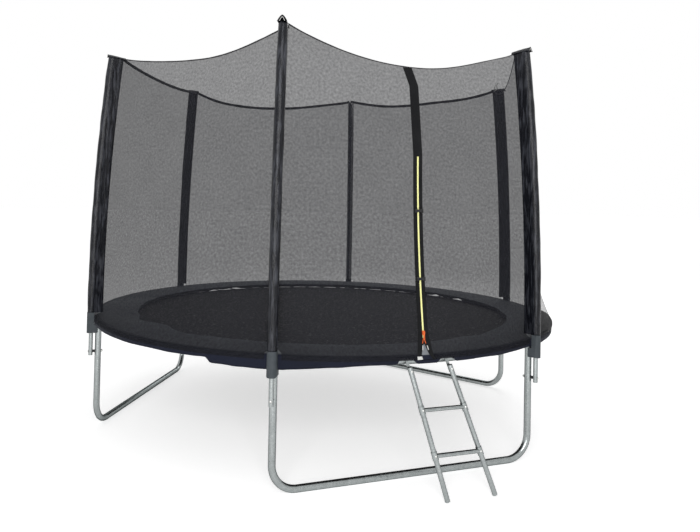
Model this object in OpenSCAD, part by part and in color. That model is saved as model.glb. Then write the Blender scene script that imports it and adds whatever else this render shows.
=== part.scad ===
// Round garden trampoline: a steel ring on three U-shaped legs, a sprung mat under a safety pad,
// six padded poles with a net enclosure, a zipped door and a hook-on ladder.
// Millimetres, +Z up, origin on the ground at the middle of the ring. The door faces -Y.

/* [Ring and legs] */
// Radius of the top ring, to the middle of its tube
ring_r = 1505; // [1400:5:1650]
// Height of the middle of the ring's tube above the ground
ring_z = 664; // [600:2:760]
// Outside diameter of the ring and leg tubes
tube_d = 38; // [36:0.5:40]
// Wall of the ring and leg tubes
tube_wall = 1.5; // [1.2:0.1:2]
// Length of the welded sleeve on top of each leg
sleeve_len = 116; // [90:2:130]
// Wall of that sleeve
sleeve_wall = 2.4; // [2:0.1:3]
// Radius of the bends of a U-shaped leg base, to the middle of its tube
base_bend_r = 130; // [90:5:140]
// Height of the seam where an upright slides over its base
upright_seam_z = 172; // [160:2:260]
// Length of the base's swaged end inside the upright
swage_len = 60; // [40:5:90]

/* [Mat and springs] */
// Springs in each sixth of the ring
springs_per_rail = 10; // [8:1:11]
// Length of a spring between its two hook tips
spring_len = 176; // [150:2:190]
// Outside diameter of a spring's coils
spring_d = 18; // [14:0.5:20]
// Diameter of the spring wire
spring_wire_d = 3.2; // [2.6:0.1:3.6]
// Straight wire between a hook tip and the coils
hook_reach = 20; // [16:1:26]
// Reach of a mat ring, from the mat's edge to its outer bar
mat_ring_reach = 21; // [18:1:28]
// Bar thickness of a mat ring
mat_ring_bar = 3; // [2.5:0.1:4]
// Thickness of the jumping mat
mat_t = 2; // [1.2:0.1:3]
// Width of the webbing sewn round the mat's edge
mat_web_w = 44; // [30:1:60]

/* [Safety pad] */
// Width of the pad, from its inner edge to its skirt
pad_w = 279; // [240:1:320]
// Thickness of the pad at its crown
pad_t = 10.5; // [8:0.5:20]
// Drop of the pad's skirt below the crown
skirt_drop = 47; // [44:1:50]
// Thickness of the skirt's cloth
skirt_t = 2; // [1:0.1:3]
// Straps that tie the pad to each rail
straps_per_rail = 2; // [2:1:2]

/* [Poles] */
// Distance from a leg's middle to its pole's middle
pole_offset = 44; // [43:0.5:50]
// Outside diameter of a pole
pole_d = 25; // [22:0.5:26]
// Wall of a pole
pole_wall = 1.5; // [1.2:0.1:1.8]
// Height of a pole's lower end
pole_bottom_z = 447; // [420:1:460]
// Height of a pole's upper end
pole_top_z = 2318; // [2200:1:2450]
// How far the top of a pole leans in along its bow
pole_bow = 85; // [40:1:110]
// Height where the lower pole meets the upper pole
pole_joint_z = 1450; // [1300:5:1600]
// Outside diameter of the foam on a pole
foam_d = 45; // [42:0.5:56]
// Height of the bolt through the pole and the leg
pole_bolt_z = 472; // [466:1:480]
// Diameter of that bolt
pole_bolt_d = 8; // [6:0.5:10]
// Diameter of the round spacer between the pole and the leg
spacer_d = 17; // [14:0.5:22]

/* [Pole clamps] */
// Height of a clamp's lower end
clamp_bottom_z = 587; // [575:1:600]
// Height of a clamp's upper end
clamp_top_z = 714; // [705:1:730]
// Width of a clamp at its upper end
clamp_top_w = 48; // [44:0.5:50]
// Width of a clamp at its lower end
clamp_bottom_w = 53; // [50:0.5:56]

/* [Net] */
// Depth of a net pocket inward from its pole's middle
pocket_in = 68; // [55:1:90]
// Thickness of the pocket's cloth
pocket_t = 1.7; // [1:0.1:2.5]
// Thickness of the net
net_t = 1.6; // [1:0.1:2.5]
// Height of the gabled hood over each pole
hood_h = 24; // [18:1:36]
// Diameter of the rope sewn into the net's top edge
rope_d = 10; // [7:0.5:14]
// Sag of the rope over each panel, from the door's round to the left of it
sags = [158, 91, 86, 118, 41, 66]; // [30:1:180]
// Drop of the net's hem below the top of the pad
hem_drop = 29; // [20:1:31]
// Height where the net ends its curve up from the hem
net_curve_z = 1700; // [1600:10:1800]
// How far inside the ring the middle of a panel is at that height
net_curve_in = 208; // [195:1:220]
// Radius of that curve, which the zip follows
net_curve_bend = 2700; // [2400:50:3200]

/* [Door] */
// Sideways place of the upper door strip from the middle of its panel
door_x = 25; // [-10:1:40]
// Turn of the zip's upright plane from straight out, which carries its foot aside
door_slant = 17; // [0:1:20]
// How far the strip's upper end strays aside
door_top_stray = 34; // [0:1:40]
// Width of the door strip
door_w = 54; // [46:1:70]
// Thickness of the door strip
door_t = 1.8; // [1.2:0.1:2.4]
// Height of the lower end of the zip
zip_bottom_z = 770; // [760:5:800]
// Height of the upper end of the zip
zip_top_z = 1690; // [1500:10:1690]
// Width of the zip's chain of teeth
zip_w = 12; // [8:0.5:14]
// Heights of the two clips over the zip
clip_z = [1050, 1400];
// Height of a clip along the door strip
clip_h = 20; // [16:1:28]

/* [Ladder] */
// Compass angle of the ladder round the ring
ladder_az = -91; // [-93:0.5:-88]
// Lean of the ladder, out from upright
ladder_lean = 8.7; // [6:0.1:12]
// Distance between the ladder's rails at the hooks
ladder_top_w = 220; // [200:1:240]
// How much wider the ladder is at its feet
ladder_flare = 48; // [0:1:70]
// How far the ladder's feet stand to the side of its hooks
ladder_rack = 200; // [0:1:220]
// Diameter of a ladder rail
ladder_rail_d = 25; // [22:0.5:28]
// Wall of a ladder rail
ladder_wall = 1.5; // [1.2:0.1:2]
// Heights of the two treads
tread_z = [433, 218];
// Depth of a tread, front to back
tread_depth = 32; // [26:1:40]
// Height of a tread
tread_h = 18; // [14:1:22]
// Width of a ladder hook
hook_w = 16; // [12:0.5:18]
// Thickness of a ladder hook
hook_t = 2.4; // [2:0.1:2.6]

/* [Hidden] */
POLES = 6;
SIXTH = 360 / POLES;
gap = 0.3;                 // clearance between pieces that rest on each other
running = 0.1;             // radial clearance of a bolt in its nut
bolt_clear = 0.3;          // radial clearance of a bolt in a tube
slack = 0.2;               // clearance of a swaged end in its tube
over = 1;                  // how far a cutting tool runs past a face
tube_fn = 48;
ring_fn = 360;

tube_r = tube_d / 2;
sleeve_in_r = tube_r + gap;
sleeve_r = sleeve_in_r + sleeve_wall;
sleeve_half = sleeve_len / 2 / ring_r * 180 / PI;
rail_gap = 1 / ring_r * 180 / PI;

// mat and springs: the hook tips set where the mat ends
spring_wire_r = spring_wire_d / 2;
hook_tip_h = 5;
tip_out_r = ring_r - sqrt(pow(tube_r - tube_wall, 2) - pow(hook_tip_h + spring_wire_r, 2))
    + spring_wire_r + gap;
tip_in_r = tip_out_r - spring_len;
mat_r = tip_in_r + spring_wire_r + gap + mat_ring_bar - mat_ring_reach - gap;
mat_z = ring_z - mat_ring_bar / 2 - spring_wire_r - gap;
hole_clear = 0.6;
rail_hole_r = spring_wire_r + hole_clear;
spring_angle = SIXTH / springs_per_rail;
spring_cone = 8;
ring_near_half = 17;       // half the width of a mat ring at the mat
ring_far_half = 7;         // and at the spring's hook

// safety pad
hook_clear = 0.8;          // clearance of a ladder hook round the ring
ladder_hook_in_r = tube_r + hook_clear;
ladder_hook_r = ladder_hook_in_r + hook_t;
pad_bottom_z = ring_z + max(ladder_hook_r, sleeve_r) + gap;
pad_top_z = pad_bottom_z + pad_t;
skirt_clear = 3.8;
skirt_in_r = ring_r + ladder_hook_r + skirt_clear;
skirt_r = skirt_in_r + skirt_t;
pad_in_r = skirt_r - pad_w;
skirt_z = pad_top_z - skirt_drop;
pad_edge_lift = 1;         // the pad's rounded edges: heights and widths of their facets
pad_edge_h = 4.5;
pad_round = [[5, 3], [22, 1], [60, 0]];
skirt_round = [[50, 0], [16, 1.2], [4, 4], [0, 9]];
strap_w = 20;
strap_t = 1.2;
strap_angle = 12;

// poles: upright to the top of the clamp, then bent on one long arc
pole_r = pole_d / 2;
pole_at = ring_r + pole_offset;
pole_fn = 36;
bow_start = 3;             // straight pole above the clamp, under the bow
bow_z = clamp_top_z + bow_start;
bow_h = pole_top_z - bow_z;
bow_r = (bow_h * bow_h + pole_bow * pole_bow) / (2 * pole_bow);
bow_end = asin(bow_h / bow_r);
function bow_at(z) = asin(max(0, z - bow_z) / bow_r);
function pole_x(z) = pole_at - bow_r * (1 - cos(bow_at(z)));
pole_swage_r = pole_r - pole_wall - slack;
pole_swage_len = 50;
foam_r = foam_d / 2;
foam_short = 14;
pocket_past = 4;           // how far a pocket reaches past its pole's end
foam_top_z = pole_top_z - foam_short;
pocket_r = foam_r + gap + pocket_t;
pocket_z = clamp_top_z + gap;
pocket_top_z = pole_top_z + pocket_past;
hood_ridge = 6;
hood_past_in = 10;         // how far a hood stands past its pocket, in and out
hood_past_out = 6;
cap_h = 10;
cap_lip = 1.5;
cap_lip_t = 3;
cap_dome_r = 20;
cap_dome_h = 6;
clamp_corner = 9;
clamp_shoulder = 7;        // from the leg's middle to the clamp's inner face
clamp_skirt_gap = 0.5;
clamp_skirt_drop = 10;
bolt_head_r = pole_bolt_d;
bolt_head_h = 4.5;
bolt_dome_r = 9.2;
bolt_past_nut = 4;
nut_w = 13;
nut_h = 6.5;

// net: the pocket's inner corners, the hem and the curve between them
hem_z = pad_top_z - hem_drop;
hem_half = 28.4;
net_cols = 12;
hem_r = (skirt_r + gap) / cos(hem_half / net_cols);
rim_lift = 3;
rim_z = pad_top_z + rim_lift;
cloth_z = pocket_z + 3;    // where the net leaves its rim for the pockets
net_curve_r = ring_r - net_curve_in;
pocket_side = pocket_r + gap;
rope_end_z = pocket_top_z - pocket_in * sin(bow_end) - rope_d / 2;
chord_len = norm([hem_r - net_curve_r, net_curve_z - rim_z]);
chord_dir = [net_curve_r - hem_r, net_curve_z - rim_z] / chord_len;
curve_mid = [(hem_r + net_curve_r) / 2, (rim_z + net_curve_z) / 2];
curve_far = sqrt(net_curve_bend * net_curve_bend - chord_len * chord_len / 4);
curve_c = curve_mid + curve_far * [chord_dir[1], -chord_dir[0]];
function curve_r(z) = curve_c[0] - sqrt(net_curve_bend * net_curve_bend - pow(z - curve_c[1], 2));
function curve_angle(z) = asin((z - curve_c[1]) / net_curve_bend);
function corner_r(z) = pole_x(z) - pocket_in;
function corner_d(z) = corner_r(z) * cos(SIXTH / 2) + pocket_side * sin(SIXTH / 2);
function corner_t(z) = corner_r(z) * sin(SIXTH / 2) - pocket_side * cos(SIXTH / 2);
rope_half = corner_t(rope_end_z);
rope_end_d = corner_d(rope_end_z);
rope_bulge = 10;
// rows of a net panel: the hem, the rim, then shares of the way up to the rope
NET_ROWS = 18;
net_rows = concat([-2, -1], [for (k = [0:NET_ROWS]) k / NET_ROWS]);
function rope_bend(sag) = (rope_half * rope_half + sag * sag) / (2 * sag);
function rope_drop(t, sag) = sag - rope_bend(sag) + sqrt(pow(rope_bend(sag), 2) - t * t);
function panel_sag(i) = sags[i - 1];
function panel_mid_r(z, sag) = z < net_curve_z ? curve_r(z)
    : net_curve_r + (rope_end_d + rope_bulge - net_curve_r) * (z - net_curve_z)
        / (rope_end_z - sag - net_curve_z);

// door: the strip follows the net's curve outside it, and the zip keeps to one upright plane
strip_off = 0.6;
zip_off = strip_off + door_t + 0.2;
zip_t = 1.2;
slider_clear = 0.5;
slider_off = zip_off + zip_t + slider_clear;
slider_t = 4;
slider_w = 14;
slider_h = 22;
ear_h = 3.4;
ear_at = 5.4;
ear_t = 2.8;
ear_w = 6;
ear_pin_drop = 1.7;        // from an ear's tip down to the pull's pin
pin_clear = 0.06;
pull_len = 34;
pull_w = 8;
pull_t = 1.4;
pull_pin_d = 2;
pull_pin_len = 14.4;
pull_neck_w = 6.8;
pull_neck_len = 6.4;
pull_shoulder = 5;
pull_hole_r = 2;
pull_hole_up = 8;
pin_off = slider_off + slider_t + ear_pin_drop;
slider_z = zip_bottom_z + slider_h;
clip_base_w = 14;
clip_plate_t = 3;
clip_off = slider_off + slider_t + ear_h + 0.5;
clip_reach = slider_w / 2 + 4;
clip_wall = 3;
clip_slot_in = 2;
foot_stray = 20;           // how far the strip's foot strays aside
clip_lift = clip_off - strip_off - door_t;
door_near = min(net_curve_r, rope_end_d) - pocket_in;
door_far = hem_r + pocket_in;
DOOR_STEPS = 24;
STRIP_STEPS = 12;
strip_kink = 90;           // straight run at the strip's upper end
// A place at a height on the curve, as [out, up], some way outside the net
function door_at(z, off) =
    curve_c + (net_curve_bend - net_t - off) * [-cos(curve_angle(z)), sin(curve_angle(z))];
function door_line_x(out) = door_x - tan(door_slant) * max(0, out - net_curve_r);
function door_heights(from_z, to_z, steps) = [for (k = [0:steps]) from_z + (to_z - from_z) * k / steps];
strip_top_z = rope_end_z - panel_sag(1) - rope_d / 2 - 2 * gap;
strip_top_at = panel_mid_r(strip_top_z, panel_sag(1)) + net_t;

// ladder: its own frame has the hooks' line as X, out as Y and up the lean as Z
hook_axis_r = sqrt(ring_r * ring_r - ladder_top_w * ladder_top_w / 4);
ladder_rail_r = ladder_rail_d / 2;
rail_plane = ladder_hook_r + gap + ladder_rail_r;
rail_start = 32;
ladder_drop = (ring_z + rail_plane * sin(ladder_lean)) / cos(ladder_lean);
function rack_slope(side) = (ladder_rack + side * ladder_flare / 2) / ladder_drop;
function rail_x(side, s) = side * ladder_top_w / 2 + rack_slope(side) * s;
function rail_tilt(side) = atan(rack_slope(side));
function foot_lift(side) =
    ladder_rail_r * sqrt(1 - pow(cos(ladder_lean) * cos(rail_tilt(side)), 2));
function rail_end(side) = ladder_drop - foot_lift(side) / cos(ladder_lean);
function tread_s(z) = (ring_z + rail_plane * sin(ladder_lean) - z) / cos(ladder_lean);
collar_t = 2.2;
collar_len = 40;
tread_inset = ladder_rail_r / 2 + 1.5;
ladder_bolt_d = 6;
ladder_nut_w = 10;
ladder_nut_h = 5;
ladder_head_h = 3.2;
ladder_dome_r = 7.5;
hook_turn = 140;           // degrees that a ladder hook wraps over the ring
hook_tab = 70;
hook_bolt_s = 52;
slot_w = hook_w + 15;
slot_top_z = ring_z + 14;

STEEL = [0.68, 0.70, 0.70];
BLACK = [0.10, 0.10, 0.11];
CHARCOAL = [0.24, 0.25, 0.27];
NET_GREY = [0.42, 0.42, 0.44];
PLASTIC = [0.36, 0.37, 0.38];
ZIP_YELLOW = [0.93, 0.90, 0.55];

function pole_angle(i) = -90 - SIXTH / 2 + SIXTH * (i - 1);
function panel_angle(i) = pole_angle(i) + SIXTH / 2;

// ---- helpers ----
// A stretch of ring, as a round bar of radius r between two compass angles
module ring_bar(r, from, to)
    rotate([0, 0, from])
        rotate_extrude(angle = to - from, $fn = ring_fn)
            translate([ring_r, 0]) circle(r, $fn = tube_fn);

// A cylinder that points along +X from x
module bar_x(r, x, len, sides = tube_fn)
    translate([x, 0, 0]) rotate([0, 90, 0]) cylinder(r = r, h = len, $fn = sides);

// A cylinder that points along +Y from y
module bar_y(r, y, len, sides = 32)
    translate([0, y, 0]) rotate([-90, 0, 0]) cylinder(r = r, h = len, $fn = sides);

// Children in each pole's own frame: +X points out from the ring's middle
module at_pole(i) rotate([0, 0, pole_angle(i)]) children();
module at_poles() for (i = [1:POLES]) at_pole(i) children();

// A 2-D section carried up the bow of a pole between two heights, its +X pointing outward
module bow_sweep(from_z, to_z)
    translate([pole_at - bow_r, 0, bow_z]) rotate([90, 0, 0])
        rotate([0, 0, bow_at(from_z)])
            rotate_extrude(angle = bow_at(to_z) - bow_at(from_z), $fn = 1080)
                translate([bow_r, 0]) children();

// The frame of a pole at a height on its bow: +X outward, +Z along the pole
module bow_frame(z)
    translate([pole_x(z), 0, z]) rotate([0, -bow_at(z), 0]) children();

// ---- ring and legs ----
module top_rail(i) color(STEEL)
    difference() {
        ring_bar(tube_r, pole_angle(i) + rail_gap, pole_angle(i + 1) - rail_gap);
        ring_bar(tube_r - tube_wall, pole_angle(i), pole_angle(i + 1));
        for (k = [0:springs_per_rail - 1])
            rotate([0, 0, pole_angle(i) + (k + 0.5) * spring_angle])
                bar_x(rail_hole_r, ring_r - tube_r - over, tube_wall + 3 * over, 24);
    }

module leg_upright() color(STEEL)
    difference() {
        union() {
            translate([0, 0, ring_z]) ring_bar(sleeve_r, -sleeve_half, sleeve_half);
            translate([ring_r, 0, upright_seam_z])
                cylinder(r = tube_r, h = ring_z - upright_seam_z, $fn = tube_fn);
        }
        translate([0, 0, ring_z]) ring_bar(sleeve_in_r, -2 * sleeve_half, 2 * sleeve_half);
        translate([ring_r, 0, upright_seam_z - over])
            cylinder(r = tube_r - tube_wall,
                h = ring_z - sleeve_r - over - upright_seam_z, $fn = tube_fn);
        translate([0, 0, pole_bolt_z])
            bar_x(pole_bolt_d / 2 + bolt_clear, ring_r - tube_d, 2 * tube_d, 24);
    }

// The U-shaped path of a leg base at bar radius r: its arms end at the seam
module base_path(r, arm_top)
    translate([ring_r * cos(SIXTH / 2), 0, tube_r]) {
        half = ring_r * sin(SIXTH / 2);
        flat = half - base_bend_r;
        rotate([-90, 0, 0]) translate([0, 0, -flat]) cylinder(r = r, h = 2 * flat, $fn = tube_fn);
        for (side = [-1, 1]) mirror([0, side < 0 ? 1 : 0, 0]) {
            translate([0, flat, base_bend_r]) rotate([0, 90, 0])
                rotate_extrude(angle = 90, $fn = 96) translate([base_bend_r, 0]) circle(r, $fn = tube_fn);
            translate([0, half, base_bend_r])
                cylinder(r = r, h = arm_top - tube_r - base_bend_r, $fn = tube_fn);
        }
    }

module leg_base() color(STEEL)
    difference() {
        union() {
            base_path(tube_r, upright_seam_z - gap);
            base_swages(tube_r - tube_wall - slack);
        }
        base_path(tube_r - tube_wall, upright_seam_z - 4);
        base_swages(tube_r - 2 * tube_wall - slack, over);
    }

// The reduced ends that stand inside the uprights
module base_swages(r, extra = 0)
    for (side = [-1, 1])
        translate([ring_r * cos(SIXTH / 2), side * ring_r * sin(SIXTH / 2), upright_seam_z - 5])
            cylinder(r = r, h = swage_len + 5 + extra, $fn = tube_fn);

// ---- poles ----
module lower_pole() color(STEEL)
    difference() {
        union() {
            translate([pole_at, 0, pole_bottom_z])
                cylinder(r = pole_r, h = bow_z - pole_bottom_z, $fn = pole_fn);
            bow_sweep(bow_z, pole_joint_z) circle(pole_r, $fn = pole_fn);
            bow_sweep(pole_joint_z - over, pole_joint_z + pole_swage_len) circle(pole_swage_r, $fn = pole_fn);
        }
        translate([pole_at, 0, pole_bottom_z - over])
            cylinder(r = pole_r - pole_wall, h = bow_z - pole_bottom_z + over, $fn = pole_fn);
        bow_sweep(bow_z, pole_joint_z - over) circle(pole_r - pole_wall, $fn = pole_fn);
        bow_sweep(pole_joint_z - 2 * over, pole_joint_z + pole_swage_len + over)
            circle(pole_swage_r - pole_wall, $fn = pole_fn);
        translate([0, 0, pole_bolt_z])
            bar_x(pole_bolt_d / 2 + bolt_clear, pole_at - pole_d, 2 * pole_d, 24);
    }

module upper_poles() color(STEEL)
    at_poles() difference() {
        bow_sweep(pole_joint_z + gap, pole_top_z) circle(pole_r, $fn = pole_fn);
        bow_sweep(pole_joint_z - over, pole_top_z + over) circle(pole_r - pole_wall, $fn = pole_fn);
    }

module foam_sleeves() color(BLACK)
    at_poles() difference() {
        bow_sweep(bow_z + gap, foam_top_z) circle(foam_r, $fn = tube_fn);
        bow_sweep(bow_z - over, foam_top_z + over) circle(pole_r + gap, $fn = tube_fn);
    }

module pole_caps() color(BLACK)
    at_poles() bow_frame(pole_top_z) translate([0, 0, slack]) rotate_extrude($fn = tube_fn)
        union() {
            translate([0, -cap_h]) square([pole_r - pole_wall - slack, cap_h]);
            square([pole_r + cap_lip, cap_lip_t]);
            translate([0, cap_lip_t]) intersection() {
                translate([0, cap_dome_h - cap_dome_r]) circle(cap_dome_r, $fn = 60);
                square([pole_r + cap_lip, cap_h]);
            }
        }

// A plastic clamp: hugs the pole, clears the pad's skirt above and reaches in to the leg below
module pole_clamps() color(PLASTIC)
    at_poles() difference() {
        intersection() {
            translate([0, 0, clamp_bottom_z]) linear_extrude(clamp_top_z - clamp_bottom_z) union() {
                translate([pole_at, 0]) circle(clamp_bottom_w / 2, $fn = tube_fn);
                translate([ring_r + clamp_shoulder, -clamp_bottom_w / 2])
                    square([pole_offset - clamp_shoulder, clamp_bottom_w]);
            }
            translate([ring_r, 0, 0]) rotate([90, 0, 90]) linear_extrude(2 * pole_offset) clamp_face();
        }
        translate([pole_at, 0, clamp_bottom_z - over])
            cylinder(r = pole_r + running, h = clamp_top_z - clamp_bottom_z + 2 * over, $fn = tube_fn);
        translate([ring_r, 0, clamp_bottom_z - over])
            cylinder(r = tube_r + gap, h = clamp_top_z - clamp_bottom_z + 2 * over, $fn = tube_fn);
        translate([ring_r, -clamp_bottom_w, skirt_z - clamp_skirt_drop])
            cube([skirt_r + clamp_skirt_gap - ring_r, 2 * clamp_bottom_w, clamp_top_z]);
    }

// The clamp seen from outside: wider below, with rounded lower corners
module clamp_face() {
    half = clamp_bottom_w / 2;
    union() {
        polygon([
            [-half, clamp_bottom_z + clamp_corner], [half, clamp_bottom_z + clamp_corner],
            [clamp_top_w / 2, clamp_top_z], [-clamp_top_w / 2, clamp_top_z]]);
        translate([-half + clamp_corner, clamp_bottom_z])
            square([clamp_bottom_w - 2 * clamp_corner, clamp_corner + over]);
        for (side = [-1, 1])
            translate([side * (half - clamp_corner), clamp_bottom_z + clamp_corner])
                circle(clamp_corner, $fn = 40);
    }
}

module pole_spacers() color(BLACK)
    at_poles() difference() {
        translate([0, 0, pole_bolt_z]) bar_x(spacer_d / 2, ring_r, pole_offset);
        for (post = [[ring_r, tube_r], [pole_at, pole_r]])
            translate([post[0], 0, pole_bolt_z - spacer_d])
                cylinder(r = post[1] + gap, h = 2 * spacer_d, $fn = tube_fn);
        translate([0, 0, pole_bolt_z])
            bar_x(pole_bolt_d / 2 + bolt_clear, ring_r - over, pole_offset + 2 * over, 24);
    }

module pole_bolts() color(STEEL)
    at_poles() translate([0, 0, pole_bolt_z]) union() {
        bolt_end = ring_r - tube_r - nut_h - bolt_past_nut;
        bar_x(pole_bolt_d / 2, bolt_end, pole_at + pole_r + gap - bolt_end, 24);
        translate([pole_at + pole_r + gap, 0, 0]) rotate([0, 90, 0]) rotate_extrude($fn = 32) intersection() {
            square([bolt_head_r, bolt_head_h]);
            translate([0, bolt_head_h - bolt_dome_r]) circle(bolt_dome_r, $fn = 60);
        }
    }

module pole_nuts() color(STEEL)
    at_poles() translate([0, 0, pole_bolt_z]) difference() {
        bar_x(nut_w / sqrt(3), ring_r - tube_r - gap - nut_h, nut_h, 6);
        bar_x(pole_bolt_d / 2 + running, ring_r - tube_r - nut_h - over, nut_h + 2 * over, 24);
    }

// ---- mat and springs ----
module jumping_mat() color(BLACK)
    translate([0, 0, mat_z - mat_t]) cylinder(r = mat_r, h = mat_t, $fn = ring_fn);

module mat_webbing() color(BLACK)
    translate([0, 0, mat_z - 2 * mat_t]) difference() {
        cylinder(r = mat_r, h = mat_t, $fn = ring_fn);
        translate([0, 0, -over]) cylinder(r = mat_r - mat_web_w, h = mat_t + 2 * over, $fn = ring_fn);
    }

module at_springs()
    for (i = [1:POLES], k = [0:springs_per_rail - 1])
        rotate([0, 0, pole_angle(i) + (k + 0.5) * spring_angle]) children();

// A wire loop, broad at the mat and narrow at the spring's hook
module mat_ring_outline(inset) {
    near = mat_r + gap + inset;
    far = mat_r + gap + mat_ring_reach - inset;
    near_half = ring_near_half - 1.4 * inset;
    far_half = ring_far_half - 1.2 * inset;
    polygon([[near, -near_half], [far, -far_half], [far, far_half], [near, near_half]]);
}

module mat_rings() color(STEEL)
    translate([0, 0, mat_z - mat_ring_bar / 2]) at_springs()
        linear_extrude(mat_ring_bar) difference() {
            mat_ring_outline(0);
            mat_ring_outline(mat_ring_bar);
        }

// One extension spring: coils, tapered ends and a bent hook at each end
module springs() color(STEEL)
    translate([0, 0, ring_z]) at_springs() {
        coils_in = tip_in_r + hook_reach;
        coils_out = tip_out_r - hook_reach - 4;
        union() {
            bar_x(spring_d / 2, coils_in, coils_out - coils_in, 24);
            translate([coils_in - spring_cone, 0, 0]) rotate([0, 90, 0])
                cylinder(r1 = spring_wire_r, r2 = spring_d / 2, h = spring_cone, $fn = 24);
            translate([coils_out, 0, 0]) rotate([0, 90, 0])
                cylinder(r1 = spring_d / 2, r2 = spring_wire_r, h = spring_cone, $fn = 24);
            bar_x(spring_wire_r, tip_in_r, spring_len, 16);
            translate([tip_in_r, 0, -hook_tip_h - mat_ring_bar / 2])
                cylinder(r = spring_wire_r, h = hook_tip_h + mat_ring_bar / 2, $fn = 16);
            translate([tip_out_r, 0, 0]) cylinder(r = spring_wire_r, h = hook_tip_h, $fn = 16);
            translate([tip_in_r, 0, 0]) sphere(spring_wire_r, $fn = 16);
            translate([tip_out_r, 0, 0]) sphere(spring_wire_r, $fn = 16);
        }
    }

// ---- safety pad ----
module safety_pad() color(CHARCOAL)
    difference() {
        rotate_extrude($fn = ring_fn) polygon(concat(
            [[pad_in_r, pad_bottom_z + pad_edge_lift], [pad_in_r, pad_bottom_z + pad_edge_h]],
            [for (p = pad_round) [pad_in_r + p[0], pad_top_z - p[1]]],
            [for (p = skirt_round) [skirt_r - p[0], pad_top_z - p[1]]],
            [[skirt_r, skirt_z], [skirt_in_r, skirt_z],
                [skirt_in_r, pad_bottom_z], [pad_in_r + 6, pad_bottom_z]]));
        for (side = [-1, 1]) ladder_place()
            translate([rail_x(side, (ring_z - skirt_z) / 2) - slot_w / 2, 0, skirt_z - ring_z - over])
                cube([slot_w, 2 * rail_plane, slot_top_z - skirt_z + over]);
    }

module pad_straps() color(BLACK)
    for (i = [1:POLES], side = [0:straps_per_rail - 1])
        rotate([0, 0, pole_angle(i) + (side == 0 ? strap_angle : SIXTH - strap_angle)])
            translate([ring_r, 0, ring_z]) union() {
                difference() {
                    translate([0, -strap_w / 2, 0]) bar_y(tube_r + gap + strap_t, 0, strap_w, tube_fn);
                    translate([0, -strap_w / 2, 0]) bar_y(tube_r + gap, -over, strap_w + 2 * over, tube_fn);
                }
                translate([-4, -strap_w / 2, tube_r + gap + strap_t / 2])
                    cube([8, strap_w, pad_bottom_z - ring_z - tube_r - gap - strap_t / 2]);
            }

// ---- net ----
// A pocket seen from above: round over the foam, flat on its inner side
module pocket_outline(inset)
    union() {
        circle(pocket_r - inset, $fn = tube_fn);
        translate([-pocket_in + inset, -pocket_r + inset])
            square([pocket_in - inset, 2 * (pocket_r - inset)]);
    }

module net_pocket() color(BLACK)
    difference() {
        union() {
            translate([pole_at, 0, pocket_z]) linear_extrude(bow_z - pocket_z) pocket_outline(0);
            bow_sweep(bow_z, pocket_top_z) pocket_outline(0);
        }
        translate([pole_at, 0, pocket_z - over])
            linear_extrude(bow_z - pocket_z + over) pocket_outline(pocket_t);
        bow_sweep(bow_z, pocket_top_z + over) pocket_outline(pocket_t);
    }

// The gabled end of a pocket, with its ridge running in from the pole
module net_hoods() color(BLACK)
    at_poles() bow_frame(pocket_top_z) translate([0, 0, gap]) rotate([90, 0, 90])
        translate([0, 0, -pocket_in - hood_past_in])
            linear_extrude(hood_past_in + pocket_in + pocket_r + hood_past_out) difference() {
                polygon([[-pocket_r, 0], [pocket_r, 0],
                    [hood_ridge / 2, hood_h], [-hood_ridge / 2, hood_h]]);
                polygon([[-pocket_r + 2 * pocket_t, -over], [pocket_r - 2 * pocket_t, -over],
                    [0, hood_h - 2 * pocket_t]]);
            }

// One sagging length of rope as an arc between two pockets
module net_rope() color(BLACK)
    for (i = [1:POLES]) {
        bend = rope_bend(panel_sag(i));
        slope = asin(rope_half / bend);
        half = asin((rope_half - gap - rope_d / 2 * sin(slope)) / bend);
        tilt = atan(rope_bulge / panel_sag(i));
        rotate([0, 0, panel_angle(i)]) translate([rope_end_d, 0, rope_end_z])
            rotate([0, tilt, 0]) translate([0, 0, bend - panel_sag(i)]) rotate([90, 0, 90])
                rotate([0, 0, -90 - half]) rotate_extrude(angle = 2 * half, $fn = 240)
                    translate([bend, 0]) circle(rope_d / 2, $fn = 24);
    }

function row_chord(sag) = pow(2 * rope_half / net_cols, 2) / (8 * rope_bend(sag));
function row_top(u, sag) = rope_end_z - rope_drop(u * rope_half, sag) - rope_d / 2 - gap - row_chord(sag);
function row_z(row, u, sag) = row == -2 ? hem_z : row == -1 ? rim_z
    : cloth_z + row * (row_top(u, sag) - cloth_z);
// A point of the net in its panel's frame: out, sideways, up
function rim_point(u, z) = [hem_r * cos(hem_half * u), hem_r * sin(hem_half * u), z];
function cloth_point(u, z, sag) =
    let (d = corner_d(z), m = panel_mid_r(z, sag))
    [d + (m - d) * (1 - u * u), u * corner_t(z), z];
function net_point(row, u, sag) = row < 0 ? rim_point(u, row_z(row, u, sag))
    : cloth_point(u, row_z(row, u, sag), sag);

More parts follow.
